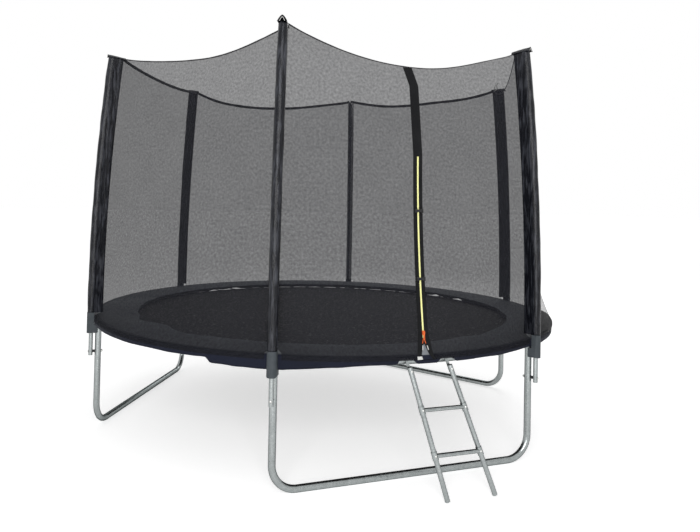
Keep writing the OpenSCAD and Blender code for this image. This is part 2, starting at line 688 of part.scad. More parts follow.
module net_panel(i) color(NET_GREY) {
    sag = panel_sag(i);
    n = net_cols + 1;
    m = len(net_rows);
    us = [for (c = [0:net_cols]) 2 * c / net_cols - 1];
    inner = [for (row = net_rows, u = us) net_point(row, u, sag)];
    outer = [for (p = inner) p + net_t * [p[0], p[1] * 0.5, 0] / norm([p[0], p[1] * 0.5])];
    back = len(inner);
    rotate([0, 0, panel_angle(i)]) polyhedron(
        points = concat(inner, outer),
        faces = concat(
            [for (r = [0:m - 2], c = [0:n - 2], f = [0, 1]) let (a = r * n + c)
                f == 0 ? [a, a + 1, a + n] : [a + 1, a + n + 1, a + n]],
            [for (r = [0:m - 2], c = [0:n - 2], f = [0, 1]) let (a = back + r * n + c)
                f == 0 ? [a, a + n, a + 1] : [a + 1, a + n, a + n + 1]],
            [for (c = [0:n - 2], f = [0, 1]) let (a = c, b = back + c)
                f == 0 ? [a, b, a + 1] : [a + 1, b, b + 1]],
            [for (c = [0:n - 2], f = [0, 1]) let (a = (m - 1) * n + c, b = back + a)
                f == 0 ? [a, a + 1, b] : [a + 1, b + 1, b]],
            [for (r = [0:m - 2], f = [0, 1]) let (a = r * n, b = back + a)
                f == 0 ? [a, a + n, b] : [a + n, b + n, b]],
            [for (r = [0:m - 2], f = [0, 1]) let (a = r * n + n - 1, b = back + a)
                f == 0 ? [a, b, a + n] : [a + n, b, b + n]]));
}

// ---- door ----
// A layer that follows the net's curve, between two distances outside the net
module door_layer(near, far, from_z, to_z) {
    heights = door_heights(from_z, to_z, DOOR_STEPS);
    near_side = [for (z = heights) door_at(z, near)];
    far_side = [for (z = heights) door_at(z, far)];
    rotate([0, 0, -90]) rotate([90, 0, 0]) translate([0, 0, -pocket_in]) linear_extrude(3 * pocket_in)
        polygon(concat(near_side, [for (k = [DOOR_STEPS:-1:0]) far_side[k]]));
}

// The strip's side view: down over the rim, up the curve and straight on to the rope
module strip_profile() {
    heights = door_heights(rim_z, net_curve_z, DOOR_STEPS);
    far = strip_off + door_t;
    polygon(concat(
        [[hem_r + net_t + strip_off, hem_z]], [for (z = heights) door_at(z, strip_off)],
        [[strip_top_at + strip_off, strip_top_z], [strip_top_at + far, strip_top_z]],
        [for (k = [DOOR_STEPS:-1:0]) door_at(heights[k], far)],
        [[hem_r + net_t + far, hem_z]]));
}

// The front view of a band along the zip's line, of a width that may change with height
module door_outline(heights, widths, strays) {
    n = len(heights) - 1;
    mids = [for (k = [0:n]) strays[k] + door_line_x(heights[k] < net_curve_z ? curve_r(heights[k]) : 0)];
    translate([0, -door_near, 0]) rotate([90, 0, 0]) linear_extrude(door_far - door_near) polygon(concat(
        [for (k = [0:n]) [mids[k] - widths[k] / 2, heights[k]]],
        [for (k = [n:-1:0]) [mids[k] + widths[k] / 2, heights[k]]]));
}

// The frame of a place on the zip's line: +X to the side, +Y in through the net, +Z up the net
module door_frame(z, off, roll = true) {
    at = door_at(z, off);
    lean = -curve_angle(z);
    translate([door_line_x(curve_r(z)), -at[0], at[1]]) rotate([-lean, 0, 0])
        rotate([0, roll ? atan(tan(door_slant) * sin(lean)) : 0, 0]) children();
}

module door_strip() color(BLACK) {
    low = door_heights(rim_z, net_curve_z, STRIP_STEPS);
    heights = concat([hem_z - over], low, [strip_top_z - strip_kink, strip_top_z + over]);
    intersection() {
        rotate([0, 0, -90]) rotate([90, 0, 0]) translate([0, 0, -pocket_in])
            linear_extrude(3 * pocket_in) strip_profile();
        door_outline(heights, [for (z = heights) door_w], [for (z = heights)
            z > strip_top_z ? -door_top_stray : z < rim_z ? foot_stray : 0]);
    }
}

module zip_chain() color(ZIP_YELLOW) {
    heights = door_heights(zip_bottom_z, zip_top_z, DOOR_STEPS);
    intersection() {
        door_layer(zip_off, zip_off + zip_t, zip_bottom_z - over, zip_top_z + over);
        door_outline(heights, [for (z = heights) zip_w], [for (z = heights) 0]);
    }
}

// The slider: a bridge over the chain with two ears for the pull's pin
module zip_slider() color("orangered")
    door_frame(slider_z, slider_off) union() {
        translate([-slider_w / 2, -slider_t, -slider_h / 2]) cube([slider_w, slider_t, slider_h]);
        for (side = [-1, 1])
            translate([side * ear_at - ear_t / 2, -slider_t - ear_h, -ear_w / 2]) difference() {
                cube([ear_t, ear_h + slack, ear_w]);
                translate([0, ear_h - ear_pin_drop, ear_w / 2])
                    bar_x(pull_pin_d / 2 + pin_clear, -over, ear_t + 2 * over, 24);
            }
    }

module zip_pull() color("orangered")
    door_frame(slider_z, slider_off) translate([0, slider_off - pin_off, 0]) union() {
        bar_x(pull_pin_d / 2, -pull_pin_len / 2, pull_pin_len, 24);
        translate([-pull_neck_w / 2, -pull_t / 2, -pull_shoulder - over])
            cube([pull_neck_w, pull_t, pull_neck_len]);
        difference() {
            translate([-pull_w / 2, -pull_t / 2, -pull_len]) cube([pull_w, pull_t, pull_len - pull_shoulder]);
            translate([0, 0, -pull_len + pull_hole_up]) bar_y(pull_hole_r, -pull_t, 2 * pull_t, 24);
        }
    }

module at_clip(z) door_frame(z, strip_off + door_t, false) children();

// The clip's fixed half: a block beside the zip with a slot over it
module clip_sockets() color(BLACK)
    for (z = clip_z) at_clip(z) difference() {
        translate([-clip_reach - clip_base_w, -clip_lift - clip_plate_t - clip_wall, -clip_h / 2])
            cube([clip_base_w, clip_lift + clip_plate_t + clip_wall - gap, clip_h]);
        translate([-clip_reach - clip_base_w + clip_slot_in, -clip_lift - clip_plate_t - gap,
            -clip_h / 2 + clip_wall])
            cube([clip_base_w, clip_plate_t + 2 * gap, clip_h - 2 * clip_wall]);
    }

// The clip's loose half: a foot on the far side and a tongue that bridges the zip
module clip_tongue(z) color(BLACK)
    at_clip(z) union() {
        translate([clip_reach, -clip_lift - clip_plate_t, -clip_h / 2])
            cube([clip_base_w, clip_lift + clip_plate_t - gap, clip_h]);
        translate([-clip_reach - clip_base_w + clip_slot_in + over, -clip_lift - clip_plate_t,
            -clip_h / 2 + clip_wall + gap])
            cube([2 * clip_reach + clip_base_w, clip_plate_t, clip_h - 2 * clip_wall - 2 * gap]);
    }

// ---- ladder ----
// The hooks' line: +X along it, +Y out, +Z up
module ladder_place()
    rotate([0, 0, ladder_az + 90]) translate([0, -hook_axis_r, ring_z]) mirror([0, 1, 0]) children();

module ladder_frame() ladder_place() rotate([ladder_lean, 0, 0]) children();

// A bar along a ladder rail from s to e below the hooks
module rail_bar(side, r, s, e, sides = tube_fn)
    translate([rail_x(side, 0), rail_plane, 0]) rotate([0, -rail_tilt(side), 0])
        translate([0, 0, -e / cos(rail_tilt(side))])
            cylinder(r = r, h = (e - s) / cos(rail_tilt(side)), $fn = sides);

module ladder_rail(side) color(STEEL)
    ladder_frame() difference() {
        rail_bar(side, ladder_rail_r, rail_start, rail_end(side));
        rail_bar(side, ladder_rail_r - ladder_wall, rail_start - over, rail_end(side) + over);
        for (s = concat([hook_bolt_s], [for (z = tread_z) tread_s(z)]))
            translate([rail_x(side, s), 0, -s])
                bar_y(ladder_bolt_d / 2 + bolt_clear, 0, 2 * rail_plane, 24);
    }

// The outline of a tread from its end: a flattened tube
module tread_outline(inset) {
    round_r = tread_h / 2 - inset;
    union() {
        translate([-(tread_depth - tread_h) / 2, -round_r]) square([tread_depth - tread_h, 2 * round_r]);
        for (side = [-1, 1]) translate([side * (tread_depth - tread_h) / 2, 0]) circle(round_r, $fn = 32);
    }
}

module ladder_treads() color(STEEL)
    ladder_frame() for (z = tread_z) {
        s = tread_s(z);
        left = rail_x(-1, s);
        right = rail_x(1, s);
        difference() {
            union() {
                translate([left + tread_inset, rail_plane, -s]) rotate([90, 0, 90])
                    linear_extrude(right - left - 2 * tread_inset) difference() {
                        tread_outline(0);
                        tread_outline(ladder_wall);
                    }
                for (side = [-1, 1])
                    rail_bar(side, ladder_rail_r + gap + collar_t, s - collar_len / 2, s + collar_len / 2);
            }
            for (side = [-1, 1]) {
                rail_bar(side, ladder_rail_r + gap, s - collar_len, s + collar_len);
                translate([rail_x(side, s), 0, -s])
                    bar_y(ladder_bolt_d / 2 + bolt_clear, 0, 2 * rail_plane, 24);
            }
        }
    }

// A strip bent over the ring, with a tab that lies along the rail
module ladder_hooks() color(STEEL)
    ladder_frame() for (side = [-1, 1]) difference() {
        union() {
            translate([rail_x(side, 0), 0, 0]) rotate([90, 0, 90]) translate([0, 0, -hook_w / 2])
                rotate_extrude(angle = hook_turn, $fn = 96)
                    translate([ladder_hook_in_r, 0]) square([hook_t, hook_w]);
            translate([rail_x(side, 0), ladder_hook_in_r, 0]) rotate([0, -rail_tilt(side), 0])
                translate([-hook_w / 2, 0, -hook_tab]) cube([hook_w, hook_t, hook_tab]);
        }
        translate([rail_x(side, hook_bolt_s), 0, -hook_bolt_s])
            bar_y(ladder_bolt_d / 2 + bolt_clear, 0, rail_plane, 24);
    }

// A bolt across a rail from one face to another, with its nut
module cross_bolt(from, to) {
    end = from - ladder_nut_h - bolt_past_nut / 2;
    union() {
        bar_y(ladder_bolt_d / 2, end, to + gap - end, 24);
        translate([0, to + gap, 0]) rotate([-90, 0, 0]) rotate_extrude($fn = 32) intersection() {
            square([ladder_bolt_d, ladder_head_h]);
            translate([0, ladder_head_h - ladder_dome_r]) circle(ladder_dome_r, $fn = 60);
        }
    }
    difference() {
        bar_y(ladder_nut_w / sqrt(3), from - gap - ladder_nut_h, ladder_nut_h, 6);
        bar_y(ladder_bolt_d / 2 + running, from - ladder_nut_h - over, ladder_nut_h + 2 * over, 24);
    }
}

module ladder_bolts() color(STEEL)
    ladder_frame() for (side = [-1, 1]) {
        collar = ladder_rail_r + gap + collar_t;
        for (z = tread_z) translate([rail_x(side, tread_s(z)), 0, -tread_s(z)])
            cross_bolt(rail_plane - collar, rail_plane + collar);
        translate([rail_x(side, hook_bolt_s), 0, -hook_bolt_s])
            cross_bolt(ladder_hook_in_r, rail_plane + ladder_rail_r);
    }

// ---- the pieces ----
for (i = [1:POLES]) {
    translate([0, 0, ring_z]) top_rail(i);
    at_pole(i) leg_upright();
    at_pole(i) lower_pole();
    at_pole(i) net_pocket();
    net_panel(i);
}
rotate([0, 0, panel_angle(1)]) leg_base();  // leg_base_front
rotate([0, 0, panel_angle(3)]) leg_base();  // leg_base_right
rotate([0, 0, panel_angle(5)]) leg_base();  // leg_base_left
upper_poles();
foam_sleeves();
pole_caps();
pole_clamps();
pole_spacers();
pole_bolts();
pole_nuts();
net_hoods();
net_rope();
jumping_mat();
mat_webbing();
mat_rings();
springs();
safety_pad();
pad_straps();
door_strip();
zip_chain();
zip_slider();
zip_pull();
clip_sockets();
clip_tongue(clip_z[0]);  // clip_tongue_lower
clip_tongue(clip_z[1]);  // clip_tongue_upper
ladder_rail(-1);  // ladder_rail_left
ladder_rail(1);  // ladder_rail_right
ladder_treads();
ladder_hooks();
ladder_bolts();
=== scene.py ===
# %% [markdown]
# # A round garden trampoline, dressed over its measured model
# The measured model carries the steel frame, the clips, the slider and the ladder. This script
# gives those a finish, and makes everything that is sewn, knitted or wound: nets, pocket sleeves,
# hoods, pad, mat, springs, door strip and zip. All lengths are metres, in the model's own frame.

# %%
import math
import bpy
import numpy as np
from mathutils import Matrix, Vector, noise


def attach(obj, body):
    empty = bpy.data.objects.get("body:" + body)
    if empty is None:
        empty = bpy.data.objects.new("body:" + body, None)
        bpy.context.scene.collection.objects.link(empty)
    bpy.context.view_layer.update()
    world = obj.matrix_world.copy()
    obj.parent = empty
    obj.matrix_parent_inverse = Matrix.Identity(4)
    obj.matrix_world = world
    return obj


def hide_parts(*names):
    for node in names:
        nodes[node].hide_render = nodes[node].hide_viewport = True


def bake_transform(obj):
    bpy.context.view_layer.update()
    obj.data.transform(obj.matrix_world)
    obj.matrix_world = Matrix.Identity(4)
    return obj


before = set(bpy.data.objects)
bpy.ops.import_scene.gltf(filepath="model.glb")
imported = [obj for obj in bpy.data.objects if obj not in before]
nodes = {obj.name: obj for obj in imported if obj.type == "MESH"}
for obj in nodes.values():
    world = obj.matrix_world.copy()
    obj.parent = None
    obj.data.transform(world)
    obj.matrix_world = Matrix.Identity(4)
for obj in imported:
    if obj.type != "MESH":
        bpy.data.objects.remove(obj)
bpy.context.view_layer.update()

# %% [markdown]
# ## Camera
# The lens looks straight at a point well above the middle of the picture, so the picture is a
# shifted crop: the poles lean a little less than they would in a tilted view.

# %%
IMAGE_W, IMAGE_H = 700, 532
FOCAL_PX = 689.75
AXIS_PX = (319.08, 183.19)
EYE = Vector((-1.7631, -4.5551, 1.4604))
AHEAD = Vector((0.35306, 0.93537, 0.02099)).normalized()
ROLL = math.radians(1.1937)

lens = bpy.data.cameras.new("view")
lens.sensor_fit = "HORIZONTAL"
lens.sensor_width = 36
lens.lens = FOCAL_PX * lens.sensor_width / IMAGE_W
lens.shift_x = (IMAGE_W / 2 - AXIS_PX[0]) / IMAGE_W
lens.shift_y = -(IMAGE_H / 2 - AXIS_PX[1]) / IMAGE_W
lens.clip_end = 200
view = bpy.data.objects.new("view", lens)
level_right = AHEAD.cross(Vector((0, 0, 1))).normalized()
level_up = level_right.cross(AHEAD)
right = level_right * math.cos(ROLL) + level_up * math.sin(ROLL)
up = level_up * math.cos(ROLL) - level_right * math.sin(ROLL)
view.matrix_world = Matrix.Translation(EYE) @ Matrix((right, up, -AHEAD)).transposed().to_4x4()
bpy.context.scene.collection.objects.link(view)
bpy.context.scene.camera = view

# %% [markdown]
# ## Light
# An even white sky, one broad lamp in front and a weaker one behind. The front lamp is what draws
# the pale line down each round sleeve and tube. Rays that reach the camera, or come off a shiny
# surface, see the sky as plain white.

# %%
SKY_FILL = 0.50
FLOOR_GLOW = 0.53
LAMP_AIM = Vector((0, 0, 1.1))
WHITE, BLACK = (1.0, 1.0, 1.0), (0.0, 0.0, 0.0)


def link(obj):
    bpy.context.scene.collection.objects.link(obj)
    return obj


def lamp(name, place, size, watts):
    data = bpy.data.lights.new(name, "AREA")
    data.shape, data.size, data.size_y, data.energy = "RECTANGLE", size[0], size[1], watts
    obj = link(bpy.data.objects.new(name, data))
    obj.location = place
    obj.rotation_euler = (LAMP_AIM - obj.location).to_track_quat("-Z", "Y").to_euler()


lamp("front_lamp", (-3.0, -7.2, 2.6), (3.2, 4.2), 360)
lamp("back_lamp", (4.5, 5.5, 4.6), (3.0, 3.4), 85)
bpy.context.scene.view_settings.view_transform = "Standard"

# %% [markdown]
# ## One small class for shader arithmetic
# Writing `a * 3 + b` is easier to read than a page of Math nodes, so each operator adds one node.

# %%


class Value:
    """One output of a node tree. Arithmetic adds Math nodes; node() adds any other kind."""

    def __init__(self, tree, socket=None):
        self.tree, self.socket = tree, socket

    def node(self, kind, inputs=None, out=0, **settings):
        made = self.tree.nodes.new("ShaderNode" + kind)
        for name, value in settings.items():
            setattr(made, name, value)
        for place, value in (inputs or {}).items():
            feed(self.tree, made.inputs[place], value)
        return Value(self.tree, made.outputs[out])

    def maths(self, operation, first, second=0.0, clamp=False):
        return self.node("Math", {0: first, 1: second}, operation=operation, use_clamp=clamp)

    def __add__(self, other): return self.maths("ADD", self, other)
    def __radd__(self, other): return self.maths("ADD", other, self)
    def __sub__(self, other): return self.maths("SUBTRACT", self, other)
    def __rsub__(self, other): return self.maths("SUBTRACT", other, self)
    def __mul__(self, other): return self.maths("MULTIPLY", self, other)
    def __abs__(self): return self.maths("ABSOLUTE", self)
    def sin(self): return self.maths("SINE", self)
    def clamped(self): return self.maths("ADD", self, 0.0, clamp=True)


def feed(tree, socket, value):
    """Links a Value, or sets a plain number or colour on the socket itself."""
    if isinstance(value, Value):
        tree.links.new(value.socket, socket)
    elif socket.type == "RGBA" and len(value) == 3:
        socket.default_value = (*value, 1.0)
    else:
        socket.default_value = value


def set_sockets(tree, shader, **values):
    """Feeds a shader's sockets by name, with _ for each space."""
    for socket, value in values.items():
        feed(tree, shader.inputs[socket.replace("_", " ")], value)


def cloth_place(start):
    """Where a point is along and across its cloth, from the mesh's UV map, in metres."""
    return start.node("TexCoord", out=2)


def object_place(start):
    """Where a point is in its object's own frame, in metres."""
    return start.node("TexCoord", out=3)


def axes_of(start, vector):
    """The X, Y and Z of a vector."""
    split = start.node("SeparateXYZ", {0: vector})
    return [Value(start.tree, socket) for socket in split.socket.node.outputs]


def grain(start, where, scale, detail=2.0, rough=0.5):
    """Noise from 0 to 1 whose features are about 1/scale metres across."""
    return start.node("TexNoise", {"Vector": where, "Scale": scale, "Detail": detail,
                                   "Roughness": rough})


def stretched(start, where, by):
    return start.node("VectorMath", {0: where, 1: by}, operation="MULTIPLY")


def blend_colours(start, share, a, b):
    """A colour mix; the Mix node keeps its two colours in sockets 6 and 7."""
    return start.node("Mix", {0: share, 6: a, 7: b}, out=2, data_type="RGBA")


def bump(start, height, distance, strength=1.0):
    return start.node("Bump", {"Height": height, "Distance": distance, "Strength": strength})


def new_finish(name, **constants):
    """A material with its Principled shader's plain settings, ready for its varying ones."""
    material = bpy.data.materials.new(name)
    material.use_nodes = True
    tree = material.node_tree
    shader = tree.nodes["Principled BSDF"]
    set_sockets(tree, shader, **constants)
    return material, Value(tree), shader


# %% [markdown]
# How bright the sky and the floor are depends on which ray asks: a trick of the Light Path node,
# used only for those two.

# %%


def seen_rays(tree):
    """1 for a ray from the camera, off a shiny surface or through a clear one; otherwise 0."""
    path = tree.nodes.new("ShaderNodeLightPath")
    others = (Value(tree, path.outputs[n]) for n in ("Is Glossy Ray", "Is Transmission Ray"))
    return sum(others, Value(tree, path.outputs["Is Camera Ray"])).clamped()


world = bpy.data.worlds.new("sky")
bpy.context.scene.world = world
world.use_nodes = True
sky_tree = world.node_tree
set_sockets(sky_tree, sky_tree.nodes["Background"], Color=WHITE,
            Strength=SKY_FILL + seen_rays(sky_tree) * (1 - SKY_FILL))

# %% [markdown]
# ## Finishes
# Steel: hot-dip zinc leaves a patchwork of crystals, so colour and shine change from spot to spot.

# %%


def zinc_finish(name, dark, light, patch, shine):
    # The black Specular Tint darkens the reflection near each tube's outline: painted shade along
    # the edges.
    material, v, shader = new_finish(name, Metallic=1.0, Specular_Tint=(0.0, 0.0, 0.0))
    where = object_place(v)
    cells = v.node("TexVoronoi", {"Vector": where, "Scale": patch}, out=1)
    cell = cells.node("SeparateColor", {0: cells})
    smear = grain(v, stretched(v, where, (1, 1, 0.25)), 28.0, 3.0)
    share = (cell * 0.35 + smear * 0.9 - 0.12).clamped()
    set_sockets(v.tree, shader,
                Base_Color=blend_colours(v, share, dark, light),
                Roughness=shine + smear * 0.16 + cell * 0.08,
                Normal=bump(v, grain(v, where, 900.0), 0.0001, 0.25))
    return material


galvanised = zinc_finish("galvanised_steel", (0.22, 0.24, 0.24), (0.40, 0.425, 0.425),
                         160.0, 0.13)
fastener_zinc = zinc_finish("zinc_fasteners", (0.42, 0.43, 0.42), (0.62, 0.62, 0.60),
                            700.0, 0.18)
spring_zinc = zinc_finish("spring_steel", (0.26, 0.27, 0.27), (0.42, 0.43, 0.43), 500.0, 0.3)

# %% [markdown]
# Moulded plastic: a very fine grain, with faint paler scuffs.

# %%


def plastic_finish(name, colour, scuffed, shine):
    material, v, shader = new_finish(name, Specular_IOR_Level=0.22)
    where = object_place(v)
    cloud = grain(v, where, 35.0, 4.0)
    fine = grain(v, where, 1500.0, 1.0)
    set_sockets(v.tree, shader,
                Base_Color=blend_colours(v, (cloud * 2 - 0.7).clamped(), colour, scuffed),
                Roughness=shine + cloud * 0.15,
                Normal=bump(v, fine, 0.00015, 0.5))
    return material


clamp_grey = plastic_finish("clamp_plastic", (0.040, 0.048, 0.054), (0.060, 0.068, 0.076), 0.5)
black_plastic = plastic_finish("black_plastic", (0.012, 0.012, 0.013), (0.03, 0.03, 0.032), 0.35)

# %% [markdown]
# Coated cloth (the pocket sleeves, hoods and door strip): black, glossy and finely crinkled.
# Creases run mostly up the pole, because the cloth is pulled tight between hood and foot. On the
# sleeves and hoods, paler streaks along the crease crests are a painted highlight.

# %%


def coated_cloth(name, colour, worn_and_sheen, sheen_streaks, shine, gloss, crease_scale, crease, stretch):
    material, v, shader = new_finish(name, Specular_IOR_Level=gloss)
    where = object_place(v)
    folds = grain(v, stretched(v, where, stretch), crease_scale, 4.0, 0.6)
    weave = (grain(v, where, 1300.0, 1.0) - 0.5) * 0.25
    spots = grain(v, where, 9.0, 3.0)
    # The fold term paints a highlight: paler streaks on the crease crests. The spots are random
    # paler patches.
    share = (spots * 1.2 - 0.5 + (folds - 0.5) * sheen_streaks).clamped()
    set_sockets(v.tree, shader,
                Base_Color=blend_colours(v, share, colour, worn_and_sheen),
                Roughness=shine + folds * 0.16,
                Normal=bump(v, folds + weave, crease, 0.9))
    return material


# The sleeves' paler colour is mostly a painted highlight along the folds, with random paler spots.
sleeve_cloth = coated_cloth("sleeve_cloth", (0.004, 0.0045, 0.007), (0.050, 0.053, 0.064),
                            4.0, 0.16, 0.22, 42.0, 0.0020, (2.0, 2.0, 0.22))
door_cloth = coated_cloth("door_cloth", (0.007, 0.0072, 0.008), (0.016, 0.0165, 0.018),
                          0.0, 0.50, 0.08, 24.0, 0.003, (1, 1, 1.8))

# %% [markdown]
# Woven tape and webbing: small ribs that catch a little light, drawn as a painted highlight on the
# rib crests, with a random cloud of tone.

# %%


def woven_tape(name, colour, lit, rib):
    material, v, shader = new_finish(name, Specular_IOR_Level=0.12, Sheen_Weight=0.08,
                                     Sheen_Roughness=0.5)
    where = object_place(v)
    x, y, z = axes_of(v, where)
    # The paler colour on the rib crests is a painted highlight.
    ribs = abs((x * rib).sin()) * 0.5 + abs(((y + z) * rib).sin()) * 0.5
    cloud = grain(v, where, 40.0, 3.0)
    set_sockets(v.tree, shader,
                Base_Color=blend_colours(v, (ribs * 0.6 + cloud * 0.5).clamped(), colour, lit),
                Roughness=0.6 + cloud * 0.25,
                Normal=bump(v, ribs, 0.0006, 0.7))
    return material


webbing_black = woven_tape("webbing", (0.012, 0.012, 0.013), (0.035, 0.035, 0.037), 1500.0)
binding_black = woven_tape("edge_binding", (0.012, 0.012, 0.013), (0.04, 0.04, 0.043), 1900.0)
zip_yellow = woven_tape("zip_tape", (0.70, 0.68, 0.20), (0.94, 0.93, 0.48), 1100.0)
slider_orange = plastic_finish("slider_enamel", (0.62, 0.10, 0.02), (0.78, 0.17, 0.05), 0.25)
tie_white = woven_tape("white_tape", (0.40, 0.40, 0.39), (0.72, 0.72, 0.70), 1500.0)

# %% [markdown]
# Net: knitted thread with more air than yarn. The weave is finer than a pixel from a few metres
# away, so its openness is in Alpha: a small repeating cell plus an uneven grain. The two panels on
# the front side are drawn denser than the four others.

# %%


def net_finish(name, cover):
    material, v, shader = new_finish(name, Specular_IOR_Level=0.05, Roughness=0.8)
    where = cloth_place(v)
    across, along, _ = axes_of(v, where)
    cell = abs((across * 900.0).sin()) * 0.5 + abs((along * 780.0).sin()) * 0.5
    uneven = grain(v, where, 72.0, 2.0, 0.55)
    broad = grain(v, where, 5.0, 2.0)
    covered = cover + (cell - 0.64) * 0.16 + (uneven - 0.5) * 0.32 + (broad - 0.5) * 0.05
    threads = blend_colours(v, uneven, (0.0078, 0.0081, 0.0108), (0.0195, 0.0201, 0.0245))
    set_sockets(v.tree, shader, Alpha=covered.clamped(), Base_Color=threads)
    return material


net_near = net_finish("net_mesh_near", 0.755)
net_far = net_finish("net_mesh_far", 0.34)

# %% [markdown]
# Pad cover: charcoal coated cloth, a little blue, in paler patches that are partly random tone and
# partly a painted sheen, palest on the pucker crests. Mat: flat plastic yarn woven in a coarse
# check, where single yarns catch the light as pale specks, painted into the colour as glints.

# %%
PAD_TOP = 0.697
NAVY_DROP, NAVY_R = 0.0045, 1.502  # the pad's outer hem and skirt are navy, below and outside this


def pad_finish():
    material, v, shader = new_finish("pad_cover", Specular_IOR_Level=0.05)
    where = object_place(v)
    puckers = grain(v, where, 16.0, 5.0, 0.55)
    broad = grain(v, where, 2.4, 3.0)
    weave = (grain(v, where, 1400.0, 1.0) - 0.5) * 0.12
    # The paler colour is partly random tone and partly a painted sheen; the puckers make their
    # raised crests paler, a painted highlight.
    cover = blend_colours(v, (broad * 1.5 - 0.3 + (puckers - 0.5) * 0.5).clamped(),
                          (0.125, 0.136, 0.152), (0.250, 0.262, 0.280))
    height = axes_of(v, where)[2]
    reach = v.node("VectorMath", {0: stretched(v, where, (1, 1, 0))}, out=1, operation="LENGTH")
    outside = ((reach - NAVY_R) * 260.0).clamped()
    skirt = ((PAD_TOP - NAVY_DROP - height) * 260.0 + outside).clamped()
    navy = blend_colours(v, broad, (0.009, 0.010, 0.014), (0.016, 0.019, 0.036))
    set_sockets(v.tree, shader,
                Base_Color=blend_colours(v, skirt, cover, navy),
                Roughness=0.42 + puckers * 0.25,
                Normal=bump(v, puckers + weave, 0.016, 0.7))
    return material


def mat_finish():
    material, v, shader = new_finish("mat_cloth", Specular_IOR_Level=0.06)
    where = object_place(v)
    across, along, _ = axes_of(v, where)
    check = abs((across * 700.0).sin()) * abs((along * 700.0).sin())
    yarn = grain(v, where, 62.0, 3.0, 0.7)
    specks = grain(v, where, 90.0, 1.0)
    # Pale specks: painted glints of single yarns catching the light.
    lit = ((specks - 0.62) * 9.0).clamped()
    share = (yarn * 2.6 - 1.0 + check * 0.2).clamped()
    dark = blend_colours(v, share, (0.002, 0.0018, 0.0016), (0.110, 0.107, 0.101))
    set_sockets(v.tree, shader,
                Base_Color=blend_colours(v, lit * 0.85, dark, (0.50, 0.49, 0.48)),
                Roughness=0.5 + yarn * 0.3,
                Normal=bump(v, check * 0.4 + yarn, 0.0022, 0.6))
    return material


pad_cover = pad_finish()
mat_cloth = mat_finish()

# %% [markdown]
# ## The floor
# A pale matt floor takes the soft shadow. Like the sky, it looks white to the camera, so that the
# horizon doesn't show; its own light adds to what falls on it, and the shadow stays.

# %%
floor_finish, floor_v, floor_shader = new_finish("floor", Roughness=0.9, Specular_IOR_Level=0.1)
floor_tone = grain(floor_v, object_place(floor_v), 0.6, 2.0)
set_sockets(floor_v.tree, floor_shader,
            Base_Color=blend_colours(floor_v, floor_tone, (0.95, 0.95, 0.95), (0.97, 0.97, 0.97)),
            Emission_Color=blend_colours(floor_v, seen_rays(floor_v.tree), BLACK, WHITE),
            Emission_Strength=FLOOR_GLOW)
floor_mesh = bpy.data.meshes.new("floor")
FLOOR_HALF = 60
floor_mesh.from_pydata([(x * FLOOR_HALF, y * FLOOR_HALF, 0)
                        for x, y in ((-1, -1), (1, -1), (1, 1), (-1, 1))], [], [(0, 1, 2, 3)])
floor_mesh.materials.append(floor_finish)
link(bpy.data.objects.new("floor", floor_mesh))

# %% [markdown]
# ## Sizes shared with the measured model
# The soft pieces follow the same curves as the measured ones: poles bent on one long arc, and a net
# that runs from the pad's rim up a second arc and then straight to the top rope.

# %%
RING_Z = 0.664
POLE_AT, POLE_TOP, BOW_Z, BOW = 1.549, 2.318, 0.717, 0.085
POCKET_R, POCKET_IN, POCKET_LOW, POCKET_TOP = 0.0245, 0.068, 0.7143, 2.322
HOOD_H, HOOD_PAST_IN, HOOD_PAST_OUT = 0.024, 0.012, 0.006
HOODS = {1: 0.031, 6: 0.015}  # the hoods that are taller or lower than HOOD_H
RAISED = {1: 0.009}  # the sleeves that stand higher
PAD_LOW, PAD_IN_R, SKIRT_R, SKIRT_Z = 0.6865, 1.254, 1.533, 0.650
HEM_Z, RIM_Z, HEM_HALF, HEM_R = 0.668, 0.700, math.radians(28.4), 1.534609
HEM_MIDDLE_Z, NET_FOOT_Z = 0.684, 0.7173
CURVE_Z, CURVE_R, CURVE_BEND, NET_T = 1.700, 1.297, 2.700, 0.0016
# How deep each rope's arc is, and how far each rope is held above its arc at nine even places.
SAGS = {1: 0.166, 2: 0.099, 3: 0.094, 4: 0.126, 5: 0.049, 6: 0.074}
HELD_SMOOTH, ROPE_BULGE = 11, 0.010
HELD_UP = {1: (0.030, 0.035, 0.0345, 0.032, 0.029, 0.024, 0.0275, 0.0255, -0.004),
           2: (0, 0, 0, 0, 0, 0, 0, 0, 0),
           3: (0, 0.010, 0.026, 0.042, 0.040, 0.034, 0.027, 0.027, 0.022),
           4: (0.015, 0.042, 0.052, 0.048, 0.042, 0.027, 0.012, -0.006, 0),
           5: (0, 0.005, 0.010, 0.014, 0.016, 0.016, 0.012, 0.006, 0),
           6: (0, 0.001, 0.002, -0.003, -0.010, -0.019, -0.015, -0.002, 0.010)}
MAT_R, MAT_Z, MAT_T, WEB_W = 1.29829, 0.6606, 0.002, 0.044
SIXTH = math.radians(60)

BOW_R = ((POLE_TOP - BOW_Z) ** 2 + BOW ** 2) / (2 * BOW)
BOW_END = math.asin((POLE_TOP - BOW_Z) / BOW_R)
CHORD = math.hypot(HEM_R - CURVE_R, CURVE_Z - RIM_Z)
CHORD_DIR = ((CURVE_R - HEM_R) / CHORD, (CURVE_Z - RIM_Z) / CHORD)
CURVE_FAR = math.sqrt(CURVE_BEND ** 2 - CHORD ** 2 / 4)
CURVE_C = ((HEM_R + CURVE_R) / 2 + CURVE_FAR * CHORD_DIR[1],
           (RIM_Z + CURVE_Z) / 2 - CURVE_FAR * CHORD_DIR[0])
ROPE_END_Z = POCKET_TOP - POCKET_IN * math.sin(BOW_END) + 0.003


def bow_angle(z):
    return np.arcsin(np.maximum(0, np.asarray(z, float) - BOW_Z) / BOW_R)


